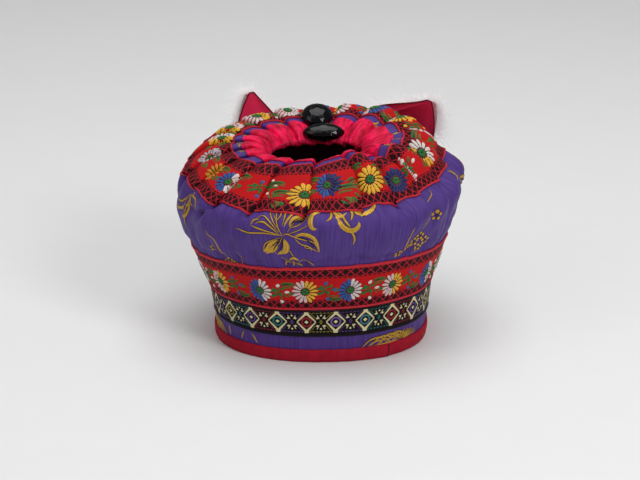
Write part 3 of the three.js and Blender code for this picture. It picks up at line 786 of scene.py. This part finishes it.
flower_ribbon = Finish("flower_ribbon", Specular_IOR_Level=0.15)
turned, across = flower_ribbon.mapped()
ribbon_width, border, lattice_step = 28.6, 7.2, 360 / 80
edge = across.least(ribbon_width - across)
x = abs((turned / lattice_step) % 1.0 - 0.5) * 5.5
y = abs(edge - 3.9)
knot = x / 1.6 + y / 2.3
net = x / 2.75 + y / 3.4
in_border = edge < border
black_knot = knot < 1.0
lines = (abs(net - 1.0) < 0.1).most(abs(y - 3.2) < 0.17)
small = (net > 1.13) * (y < 3.0)
tooth = abs((turned * 2.0 / lattice_step) % 1.0 - 0.5) * 2.0
teeth = (edge > border) * (edge - border < tooth)
red_weave = flower_ribbon.grain(turned * 2.0, across * 2.4, 1.0, 3.0)
field_red = flower_ribbon.mix(red_weave, dye(160, 12, 18), dye(212, 28, 32))
border_red = flower_ribbon.mix(red_weave, dye(160, 24, 40), dye(214, 46, 62))
ground = flower_ribbon.mix(small, dye(92, 13, 26), dye(24, 8, 14))
net_cloth = flower_ribbon.mix(black_knot, flower_ribbon.mix(lines, ground, border_red), dye(20, 9, 16))
cloth = flower_ribbon.mix(teeth, flower_ribbon.mix(in_border, field_red, net_cloth), dye(40, 10, 18))
rib = (across * 15.0).sine() * 0.5 + 0.5
warp = (turned * 13.0).sine() * 0.5 + 0.5
flower_ribbon.show(Base_Color=flower_ribbon.mix(rib * 0.18, cloth, dye(90, 8, 20)), Roughness=0.62 + 0.2 * red_weave)
flower_ribbon.relief(rib * 0.5 + warp * 0.3 + lines * in_border * 0.9 - black_knot * in_border * 0.6, 0.5, 0.0003)
red_cord = thread("red_cord", dye(222, 48, 62), dye(150, 18, 34), 0.55)

# Each thread's colour and its darker copy, the shade, which is painted shade between its strands.
threads = [thread(name + "_thread", dye(*colour), dye(*shade)) for name, colour, shade in [
    ("white", (236, 228, 220), (176, 160, 158)), ("yellow", (244, 196, 60), (184, 120, 34)),
    ("blue", (62, 104, 176), (30, 52, 108)), ("green", (46, 128, 58), (18, 66, 34)),
    ("leaf", (112, 118, 52), (66, 62, 30)), ("pink", (232, 206, 202), (184, 150, 150)),
    ("gold_yellow", (214, 150, 40), (150, 90, 26)), ("navy", (42, 56, 116), (18, 24, 62)),
    ("outline", (92, 20, 26), (52, 12, 18)), ("grey", (206, 200, 202), (130, 124, 132)),
]]
white, yellow, blue, green, leaf, pink, ochre, navy, outline, grey = range(len(threads))


def daisy(work, spot, left, right, seed, petals=15):
    """A daisy of straight petals round a green heart, with dark stitches between them. Its left and right
    petals differ in colour."""
    chance = np.random.RandomState(seed)
    work.stroke(spot, [(-5.6, 0), (5.6, 0)], 7.2, height=0.12, slot=outline, blunt=0.75, base=ribbon_top,
                sides=16, pieces=10)
    for k in range(petals):
        angle = 2 * math.pi * (k + 0.5) / petals + math.pi / 2
        c, s = math.cos(angle), math.sin(angle)
        reach = chance.uniform(0.92, 1.06)
        work.stroke(spot, [(2.0 * c, 2.6 * s), (4.4 * c, 5.8 * s), (6.7 * reach * c, 8.5 * reach * s)], 0.9,
                    height=0.6, slot=left if c < 0.12 else right, blunt=0.9, base=ribbon_top, pieces=6)
        c, s = math.cos(angle + math.pi / petals), math.sin(angle + math.pi / petals)
        work.stroke(spot, [(2.6 * c, 3.4 * s), (4.4 * c, 5.7 * s)], 0.2, height=0.75, slot=outline,
                    base=ribbon_top, sides=4, pieces=3)
    for k in range(5):
        angle = 2 * math.pi * k / 5 + 0.4
        c, s = math.cos(angle), math.sin(angle)
        work.stroke(spot, [(0.2 * c, 0.2 * s), (2.0 * c, 2.5 * s)], 1.0, height=0.75, slot=green, blunt=0.6,
                    base=ribbon_top, pieces=5)


def bud_sprig(work, spot, bud):
    """A short twig with three buds and green leaves."""
    for line, width, slot in [
        ([(-4.5, -1), (-1, -0.5), (3, 1)], 0.45, green), ([(-0.5, -0.5), (0.5, 3), (0, 5.5)], 0.45, green),
        ([(0, -0.5), (1.5, -3), (1, -5)], 0.4, green), ([(-5, 0.5), (-3, 2), (-0.8, 0.2)], 0.8, green),
        ([(-4, -3), (-2.4, -1.6), (-0.4, -0.8)], 0.8, green), ([(-3, 4.2), (-1.6, 2.8), (-0.2, 2)], 0.8, green),
        ([(1, 2.6), (2.4, 3.4), (3.6, 5)], 0.7, green), ([(2.4, -1.4), (1.2, -0.8), (0.2, 0)], 0.7, green),
        ([(-0.6, 4.6), (0.2, 5.8), (0.6, 7.2)], 1.0, bud), ([(3, 0.6), (4.4, 1.2), (5.8, 1)], 1.0, bud),
        ([(0.6, -4.4), (1.2, -5.8), (1, -7)], 0.95, bud),
    ]:
        work.stroke(spot, line, width, height=0.5, slot=slot, base=ribbon_top, pieces=6)


def leaf_scroll(work, spot):
    """Curled leaves in dull and bright green, two of them with a dark rib."""
    for line, width, slot in [
        ([(-5, 3.8), (-2, 5.4), (2, 5), (4.6, 3.2)], 0.7, green),
        ([(-4.6, 2), (-1.5, 3.6), (2, 3.4), (4.4, 1.8)], 0.7, leaf),
        ([(-3.6, 0.8), (-1, 1.8), (2, 1.6)], 0.6, leaf), ([(-1.5, -1.5), (0.5, -3.4), (0, -5.6)], 0.9, leaf),
        ([(0.5, -1.8), (2.2, -3.4), (1.8, -5.2)], 0.6, green), ([(-2.6, -3), (-2, -4.6), (-0.6, -6.2)], 0.5, green),
        ([(-4.4, 2.9), (-1.4, 4.5), (2, 4.2)], 0.25, outline), ([(-0.6, -2.2), (0.8, -3.8), (0.6, -5)], 0.22, outline),
    ]:
        work.stroke(spot, line, width, height=0.45, slot=slot, base=ribbon_top, pieces=6)


lower_rows = np.linspace(flower_low, flower_high, 16)
flower_band_lower = ribbon("lower_flower_ribbon", lower_rows, flower_ribbon, ribbon_width)
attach(flower_band_lower, "root")
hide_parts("flower_band_lower")

lower_flowers = Needlework()
middle = 4.46
for azimuth in (217.5, 263, 305, 349, 34, 79, 124, 170):
    daisy(lower_flowers, Spot(azimuth, middle), pink, yellow, int(azimuth))
    bud_sprig(lower_flowers, Spot(azimuth + 9.5, middle), blue)
    leaf_scroll(lower_flowers, Spot(azimuth + 14.5, middle - 0.06, 0.85, 180, True))
for azimuth in (197, 241.5, 284, 328, 12, 57, 102, 147):
    daisy(lower_flowers, Spot(azimuth, middle), blue, white, int(azimuth))
    bud_sprig(lower_flowers, Spot(azimuth + 9, middle - 0.04), white)
    leaf_scroll(lower_flowers, Spot(azimuth + 14, middle + 0.04, 0.9))
lower_embroidery = lower_flowers.piece("lower_embroidery", threads)
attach(lower_embroidery, "root")

edge_cord("lower_ribbon_cord_low", flower_low + 0.02, 0.6, red_cord)
edge_cord("lower_ribbon_cord_high", flower_high - 0.02, 0.6, red_cord)
edge_cord("diamond_cord_low", diamond_low + 0.03, 0.45, black_cord)
edge_cord("diamond_cord_high", diamond_high - 0.03, 0.45, black_cord)

# The ring: the near corner of each pleat carries the ribbon's edge a little lower than the rest
ring_index, ring_share = pleat_at(np.radians(ring_azimuths))
at_right = right_side(np.radians(ring_azimuths))
scallop = ease(ring_share, 0.2, 0.84) * (1 - ease(ring_share, 0.88, 1.0))
drop = (0.42 - 0.2 * pleat_rolls[ring_index]) * np.where(pleat_heights[ring_index] > 0.85, 1, 0.5)
ring_low = ring_edge - 0.1 - drop * scallop * (1 - 0.5 * at_right)
near_azimuth = 272
near_side = np.exp(-(((ring_azimuths - near_azimuth + 180) % 360 - 180) / 48) ** 2)
ring_high = ring_inner + 0.15 + 0.6 * near_side
ring_rows = ring_low + (ring_high - ring_low) * np.linspace(0, 1, 26)[:, None]
flower_band_upper = ribbon("upper_flower_ribbon", ring_rows, flower_ribbon, ribbon_width, fullness=1.6)
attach(flower_band_upper, "root")
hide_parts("flower_band_upper")
edge_cord("upper_ribbon_cord_low", ring_low + 0.02, 0.6, red_cord)
edge_cord("upper_ribbon_cord_high", ring_high - 0.02, 0.6, red_cord)

upper_flowers = Needlework()
for azimuth, station, left, right in [
    (163, 10.5, white, yellow), (184, 10.1, grey, grey), (203.5, 10.0, ochre, ochre), (218, 9.9, blue, white),
    (259, 9.8, yellow, yellow), (274, 10.3, blue, navy), (296, 10.1, yellow, yellow), (311, 9.9, navy, navy),
    (342, 10.2, yellow, white), (33, 10.4, yellow, white), (54, 10.3, blue, pink), (76, 10.3, pink, yellow),
    (108, 10.3, white, pink), (126, 10.3, yellow, pink), (146, 10.3, pink, yellow), (90, 10.3, blue, white),
    (13, 10.2, pink, yellow),
]:
    daisy(upper_flowers, Spot(azimuth, station, 0.92), left, right, int(azimuth))
for azimuth, station, bud in [(236, 9.95, blue), (322, 10.1, white), (23, 10.2, yellow), (117, 10.2, white),
                              (64, 10.1, blue)]:
    bud_sprig(upper_flowers, Spot(azimuth, station, 0.85), bud)
for azimuth, station in [
    (173, 10.3), (193.5, 10.1), (247.5, 10.1), (285.5, 10.0), (332, 10.2), (353, 10.1), (3, 10.2), (44, 10.3),
    (98, 10.3), (136, 10.3), (155, 10.3), (210.5, 10.1), (227, 10.2), (266, 10.4), (303, 10.3), (251, 9.6),
    (281, 9.7), (290, 10.6),
]:
    leaf_scroll(upper_flowers, Spot(azimuth, station))
bud_sprig(upper_flowers, Spot(243.5, 10.25, 0.8), white)

# Pale stitches along the folded edge of two pleats
for azimuth in (224, 322):
    for k in range(12):
        upper_flowers.stroke(Spot(azimuth + 0.02 * k, 9.5 + 0.11 * k), [(-0.5, -0.4), (0.5, 0.5)], 0.45,
                             height=0.4, slot=pink, base=ribbon_top, pieces=4)
upper_embroidery = upper_flowers.piece("upper_embroidery", threads)
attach(upper_embroidery, "root")

# ---------------------------------------------------------------- opening band
# Pink-red satin, folded over the gathered edge of the crown. Its near edge is smooth, and inside the
# opening its raw edge frays into short threads.

satin = Finish("pink_satin", Specular_IOR_Level=0.12)
around, across = satin.mapped()
crush = satin.grain(around * 0.35, across * 5.0, 1.0, 5.0)
silk = (across * 160.0).sine() * 0.5 + 0.5
# Painted sheen and shade: the crush noise paints bright highlights and dark crease shade into the satin's colour.
painted_sheen_and_crease_shade = satin.mix(crush * 2.8 - 0.9, dye(140, 0, 28), dye(255, 30, 88))
satin.show(Base_Color=satin.mix(silk * 0.06, painted_sheen_and_crease_shade, dye(120, 10, 40)), Roughness=0.32 + 0.22 * crush)
satin.relief(crush + silk * 0.06, 0.9, 0.0014)

band_low = band_outer + 0.1 + 0.75 * near_side - 0.4 * scallop * (1 - at_right) - 0.42 * at_right * (1 - near_side)
band_rows = band_low + (13.8 - band_low) * np.linspace(0, 1, 22)[:, None]
turned_in = [13.86, 13.9, 13.9, 13.86, *np.linspace(13.75, 13.2, 8), 13.2, 13.5, 13.66, 13.66, 13.5]
band_stations = np.concatenate([
    band_rows, np.array(turned_in)[:, None] + all_round, (13.5 + 2 * band_low[None, :]) / 3, band_low[None, :],
])
band_heights = [*(0.75 + 0.35 * np.sin(np.linspace(0, math.pi, 22))), 0.5, 0.1, -1.2, -1.6] + [-2.0] * 8
band_heights += [-1.35] * 3 + [0.12] * 4
opening_band = cloth_ring("opening_satin_band", band_stations, band_heights, [satin])
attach(opening_band, "root")
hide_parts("opening_band")

frayed = Needlework()
chance = np.random.RandomState(12)
for k in range(420):
    azimuth = chance.uniform(60, 235) if k < 360 else chance.uniform(0, 360)
    bend, length = chance.uniform(-1.4, 1.4), chance.uniform(1.5, 3.6)
    frayed.stroke(Spot(azimuth, 13.72), [(0, -0.4), (bend * 0.5, 0.5), (bend, 0.6)], 0.14,
                  height=0.16, base=0.3 + length * 0.35, sides=4, pieces=3)
satin_thread = thread("satin_thread", dye(224, 60, 104), dye(140, 18, 50), 0.5)
frayed_edge = frayed.piece("frayed_edge", [satin_thread])
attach(frayed_edge, "root")

# ---------------------------------------------------------------- ears
# Two flaps of dark pink cloth, each two layers turned out and pressed, that stand on the far shoulder.
# A dark thread runs round their free edges.

ear_cloth = Finish("ear_cloth", Specular_IOR_Level=0.12)
across, upward = ear_cloth.mapped()
slub = ear_cloth.grain(across * 60.0, upward * 14.0, 1.0, 2.0)
weave = (across * 420.0).sine() * (upward * 200.0).sine()
# Painted light: the ear red is dyed lighter than the cloth's own dark pink, to make up for the shade the ears sit in.
lightened_ear_red = ear_cloth.mix(slub, dye(238, 50, 94), dye(255, 66, 112))
ear_cloth.show(Base_Color=ear_cloth.mix(weave * 0.1 + 0.1, lightened_ear_red, dye(110, 12, 38)), Roughness=0.6 + 0.15 * slub)
ear_cloth.relief(weave * 0.4 + slub * 0.2, 0.3, 0.0002)
ear_edge_thread = thread("ear_edge_thread", dye(120, 18, 40), dye(70, 8, 22), 0.6)

ear_seam, ear_wall, seam_drop, seat_gap = 8.1, 2.6, 0.3, 0.75
ears = {
    "left": dict(base=(127.5, 104), tips=[(-42.0, 61.5, 127.8), (-39.8, 62.5, 128.0)], bow=0.0, cup=2.0),
    "right": dict(base=(74, 36), tips=[(63.4, 43.0, 129.0), (65.4, 40.8, 128.6)], bow=5.5, cup=2.0),
}


def ear_place(ear, across, up, through):
    """A place in an ear, in metres, from three shares: across, up and through its wall."""
    across, up, through = np.broadcast_arrays(np.asarray(across, float), up, through)
    degrees = ear["base"][0] + (ear["base"][1] - ear["base"][0]) * across
    azimuth = np.radians(degrees)
    centre = np.array([0, centre_shift, 0])
    seat = on_cloth(degrees, ear_seam, seat_gap) / metre - centre
    low = on_cloth(degrees, ear_seam - through * seam_drop, seat_gap) / metre - centre
    tips = np.asarray(ear["tips"])
    tip = tips[0] + (tips[1] - tips[0]) * across[..., None]
    swell = (4 * up * (1 - up))[..., None]
    outward = np.stack([np.cos(azimuth), np.sin(azimuth), np.zeros_like(azimuth)], -1)
    side = np.stack([np.sin(azimuth), -np.cos(azimuth), np.zeros_like(azimuth)], -1)
    point = seat + (tip - seat) * up[..., None]
    bow = ear["bow"] * (6.75 * up * (1 - up) ** 2)[..., None] * (1 - across[..., None])
    point = point - side * bow + np.array([0, 0, 1.0]) * bow + outward * ear["cup"] * swell
    point = point + outward * (through * ear_wall)[..., None]
    blend = ease(up, 0, 0.08)[..., None]
    return (low * (1 - blend) + point * blend + centre) * metre


def close_ends(work):
    """Welds a rolled grid along its seam and fills its open ends."""
    bmesh.ops.remove_doubles(work, verts=work.verts, dist=weld)
    bmesh.ops.holes_fill(work, edges=[rim for rim in work.edges if rim.is_boundary], sides=0)
    bmesh.ops.recalc_face_normals(work, faces=work.faces)


for side, ear in ears.items():
    turn = np.linspace(0, 2 * math.pi, 57)[None, :]
    up = np.linspace(0, 1, 31)[:, None]
    across = 0.5 - 0.5 * np.sign(np.cos(turn)) * np.abs(np.cos(turn)) ** 0.55
    plump = 0.5 + 0.42 * np.abs(np.sin(turn)) ** 0.7 * -np.sign(np.sin(turn)) * (1 - 0.55 * up ** 6)
    ripple = 0.12 * np.sin(7 * across + 3 * up) * (4 * up * (1 - up)) * np.abs(np.sin(turn))
    work = bmesh.new()
    work.loops.layers.uv.new("cloth")
    lay_grid(work, ear_place(ear, across, up, plump + ripple))
    close_ends(work)
    piece = made_object(work, "ear_flap_" + side, [ear_cloth])
    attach(piece, "root")
    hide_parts("ear_" + side)

    path = [(0.0, u) for u in np.linspace(0.02, 0.98, 24)] + [(a, 1.0) for a in (0.1, 0.35, 0.65, 0.9)]
    path += [(1.0, u) for u in np.linspace(0.98, 0.02, 24)]
    line = np.array([ear_place(ear, a, u, 0.35) for a, u in path])
    run = np.gradient(line, axis=0)
    run /= np.linalg.norm(run, axis=1, keepdims=True)
    first = np.cross(run, (0.2, 1.0, 0.1))
    first /= np.linalg.norm(first, axis=1, keepdims=True)
    second = np.cross(run, first)
    turn = np.linspace(0, 2 * math.pi, 7)[:, None, None]
    radius = np.full((len(path), 1), 0.42 * metre)
    radius[0] = radius[-1] = 0
    work = bmesh.new()
    work.loops.layers.uv.new("cloth")
    lay_grid(work, line + radius * (np.cos(turn) * first + np.sin(turn) * second))
    close_ends(work)
    piping = made_object(work, "ear_piping_" + side, [ear_edge_thread])
    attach(piping, "root")

# ---------------------------------------------------------------- ear fur
# White down on a thin skin, sewn to the far side of each ear, so that only its finest ends show past the
# edges from the near side.

# Painted light: the down glows faintly white through its emission, in place of the light that shines through the fine
# hairs.
down = Finish("white_down_painted_glow", Roughness=0.9, Specular_IOR_Level=0.1, Emission_Color=(1, 1, 1, 1), Emission_Strength=0.09)
tuft = down.solid_grain(160.0)
down.show(Base_Color=down.mix(tuft, dye(232, 232, 232), dye(250, 250, 250)))
down_skin = Finish("down_skin", Roughness=0.95)
matted = down_skin.solid_grain(700.0)
down_skin.show(Base_Color=down_skin.mix(matted, dye(176, 174, 172), dye(226, 224, 222)))
down_skin.relief(matted, 0.8, 0.0008)

for side, ear in ears.items():
    chance = np.random.RandomState(31 if side == "left" else 32)
    far = 1 + 0.6 / ear_wall
    turn = np.linspace(0, 2 * math.pi, 33)[None, :]
    up = np.linspace(0.03, 0.94, 17)[:, None]
    across = 0.5 - 0.42 * np.sign(np.cos(turn)) * np.abs(np.cos(turn)) ** 0.6
    lumps = 0.12 * np.sin(7 * turn + 9 * up)
    through = far + 0.7 - (0.62 + lumps) * np.sin(turn) * (1 - np.abs(2 * (up - 0.55)) ** 4)
    work = bmesh.new()
    work.loops.layers.uv.new("cloth")
    lay_grid(work, ear_place(ear, across, up, through))
    close_ends(work)
    for face in work.faces:
        face.material_index = 1

    # Fine hairs along the ear's edges, and shorter and thicker ones over its far side
    hairs, parts, sides = 4800, 5, 3
    round_edge = chance.uniform(0, 1, hairs)
    inner = chance.uniform(0, 1, hairs) < 0.78
    edges = [round_edge < 0.4, round_edge > 0.6]
    across = np.select(edges, [0.03, 0.97], (round_edge - 0.4) * 5)
    up = np.select(edges, [0.2 + 0.72 * round_edge / 0.4, 0.2 + 0.72 * (1 - round_edge) / 0.4], 0.93)
    across = np.where(inner, chance.uniform(0.1, 0.9, hairs), np.clip(across + chance.normal(0, 0.05, hairs), 0, 1))
    up = np.where(inner, chance.uniform(0.06, 0.92, hairs), np.clip(up + chance.normal(0, 0.04, hairs), 0.12, 0.97))
    root = ear_place(ear, across, up, far + chance.uniform(0.4, 1.2, hairs))
    away = root - ear_place(ear, 0.5, 0.4, far + 0.5)
    away /= np.linalg.norm(away, axis=1, keepdims=True)
    azimuth = np.radians(ear["base"][0] + (ear["base"][1] - ear["base"][0]) * across)
    back = np.stack([np.cos(azimuth), np.sin(azimuth), np.full(hairs, 0.1)], -1)
    heading = np.where(inner[:, None], 0.8 * back + 0.9 * away, 0.8 * away + 0.3 * back)
    heading = heading + chance.normal(0, 0.5, (hairs, 3))
    heading /= np.linalg.norm(heading, axis=1, keepdims=True)
    heading += back * np.maximum(np.where(inner, 0.35, 0.1) - (heading * back).sum(1), 0)[:, None]
    wisps = chance.uniform(0.003, 0.008, hairs), chance.gamma(3.0, 0.0029, hairs).clip(0.002, 0.0175)
    length = np.where(inner, *wisps) * np.where(heading[:, 1] > 0.45, 0.6, 1)
    droop = chance.normal(0, 0.35, (hairs, 3)) + np.array([0, 0, -0.25])
    share = np.linspace(0, 1, parts + 1)[None, :, None]
    line = root[:, None] + length[:, None, None] * (share * heading[:, None] + share ** 2 * droop[:, None] * 0.7)
    thick = np.where(inner, 0.00013, 0.00004)[:, None, None] * (1 - share) ** 0.7
    first = np.cross(heading, (0.3, 0.5, 0.8))
    first /= np.linalg.norm(first, axis=1, keepdims=True)
    second = np.cross(heading, first)
    turn = np.linspace(0, 2 * math.pi, sides + 1)[None, :, None, None]
    across_hair = np.cos(turn) * first[:, None, None] + np.sin(turn) * second[:, None, None]
    places = line[:, None] + thick[:, None] * across_hair

    # One grid holds every hair, and its faces from each hair to the next come out
    skin_faces = len(work.faces)
    lay_grid(work, places.reshape(-1, parts + 1, 3), calc_uvs=False)
    work.faces.ensure_lookup_table()
    loose = [face for k, face in enumerate(work.faces[skin_faces:]) if k // parts % (sides + 1) == sides]
    bmesh.ops.delete(work, geom=loose, context="FACES_ONLY")
    piece = made_object(work, "ear_down_" + side, [down, down_skin])
    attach(piece, "root")
    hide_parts("ear_fur_" + side)

# ---------------------------------------------------------------- stones
# Two black glass stones, one round and one a pointed oval, cut in rows of facets round a flat table and
# sewn on at the far side of the opening.

black_glass = Finish("black_glass", Specular_IOR_Level=0.25)
dusting = black_glass.solid_grain(260.0, 4.0)
black_glass.show(Base_Color=black_glass.mix(dusting, dye(4, 4, 7), dye(14, 14, 20)), Roughness=0.03 + 0.08 * dusting)
cut_rows = [
    # corners, reach, height, turned by this share of a step
    (8, 0.22, 1.0, 0.5), (8, 0.48, 0.95, 0.0), (16, 0.7, 0.84, 0.5), (16, 0.88, 0.66, 0.0), (16, 0.97, 0.46, 0.5),
    (16, 1.0, 0.3, 0.0), (8, 0.86, 0.0, 0.0),
]
for name, length, width, pointed, tip, sunk in [
    # in millimetres and degrees
    ("round", 19.4, 18.0, 1.0, 30, 2.0), ("oval", 25.0, 13.6, 1.25, 26, 0.8),
]:
    lean = math.radians(tip)
    axes = np.array([[1, 0, 0], [0, math.cos(lean), math.sin(lean)], [0, -math.sin(lean), math.cos(lean)]])
    leaning = np.array([vertex.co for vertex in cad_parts["stone_" + name].data.vertices]) @ axes.T
    low, high = leaning.min(0), leaning.max(0)
    middle = (high + low) / 2
    work = bmesh.new()
    for count, reach, height, turned in cut_rows:
        ring = bmesh.ops.create_circle(work, segments=count, radius=1)["verts"]
        for k, corner in enumerate(ring):
            angle = (k + turned) / count * 2 * math.pi
            narrow = abs(math.sin(angle)) ** pointed * math.copysign(1, math.sin(angle))
            place = np.array([middle[0] + math.cos(angle) * reach * length * metre / 2,
                              middle[1] + narrow * reach * width * metre / 2, low[2] + height * (high[2] - low[2])])
            corner.co = place @ axes - np.array([0, 0, sunk * metre])
    bmesh.ops.convex_hull(work, input=work.verts)
    bmesh.ops.dissolve_limit(work, angle_limit=math.radians(1), verts=work.verts, edges=work.edges)
    bmesh.ops.recalc_face_normals(work, faces=work.faces)
    bmesh.ops.bevel(work, geom=work.edges[:], offset=0.12 * metre, offset_type="OFFSET", segments=1, profile=0.5,
                    affect="EDGES", material=-1)
    mesh = bpy.data.meshes.new("cut_stone_" + name)
    work.to_mesh(mesh)
    work.free()
    mesh.materials.append(black_glass.material)
    piece = bpy.data.objects.new("cut_stone_" + name, mesh)
    bpy.context.scene.collection.objects.link(piece)
    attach(piece, "root")
    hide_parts("stone_" + name)

# ---------------------------------------------------------------- table, light and camera
# A pale grey sweep under soft light from above, left and right, seen from a little above the hat.

paper = Finish("pale_paper", Roughness=0.9)
fleck = paper.solid_grain(40.0, 4.0)
paper.show(Base_Color=paper.mix(fleck, dye(229, 229, 229), dye(232, 232, 232)))
sweep_work = bmesh.new()
sheet = bmesh.ops.create_grid(sweep_work, x_segments=2, y_segments=40, size=1.0)
flat_run, bend_radius, below = 1.6, 1.2, 0.0002
for corner in sheet["verts"]:
    run = corner.co.y * 3.0 + 1.0
    bend = max(run - flat_run, 0)
    angle = min(bend / bend_radius, math.pi / 2)
    rise = bend_radius * (1 - math.cos(angle)) + max(bend - bend_radius * math.pi / 2, 0)
    corner.co = (corner.co.x * 5.0, min(run, flat_run) + bend_radius * math.sin(angle), rise - below)
sweep = made_object(sweep_work, "paper_sweep", [paper])

world = bpy.data.worlds.new("soft_room")
bpy.context.scene.world = world
world.use_nodes = True
world.node_tree.nodes["Background"].inputs[0].default_value = (1, 1, 1, 1)
world.node_tree.nodes["Background"].inputs[1].default_value = 0.24
for name, place, size, watts in [
    ("overhead", (0.0, 0.0, 1.5), 1.2, 15), ("left_panel", (-1.3, -0.9, 1.1), 0.9, 3.6),
    ("right_panel", (0.9, -1.1, 1.0), 0.5, 10.0),
]:
    lamp = bpy.data.lights.new(name, "AREA")
    lamp.energy, lamp.size = watts, size
    holder = bpy.data.objects.new(name, lamp)
    holder.location = place
    holder.rotation_euler = (Vector((0, 0, 0.06)) - Vector(place)).to_track_quat("-Z", "Y").to_euler()
    bpy.context.scene.collection.objects.link(holder)
bpy.context.scene.view_settings.view_transform = "Standard"

camera_angle, camera_distance, aim = math.radians(20), 1.5, (0.0, centre_shift * metre, 0.0563)
camera = bpy.data.objects.new("camera", bpy.data.cameras.new("camera"))
camera.data.lens, camera.data.sensor_width = 143.4, 36
camera.location = (aim[0], aim[1] - camera_distance * math.cos(camera_angle),
                   aim[2] + camera_distance * math.sin(camera_angle))
camera.rotation_euler = (math.radians(90) - camera_angle, 0, 0)
bpy.context.scene.collection.objects.link(camera)
bpy.context.scene.camera = camera
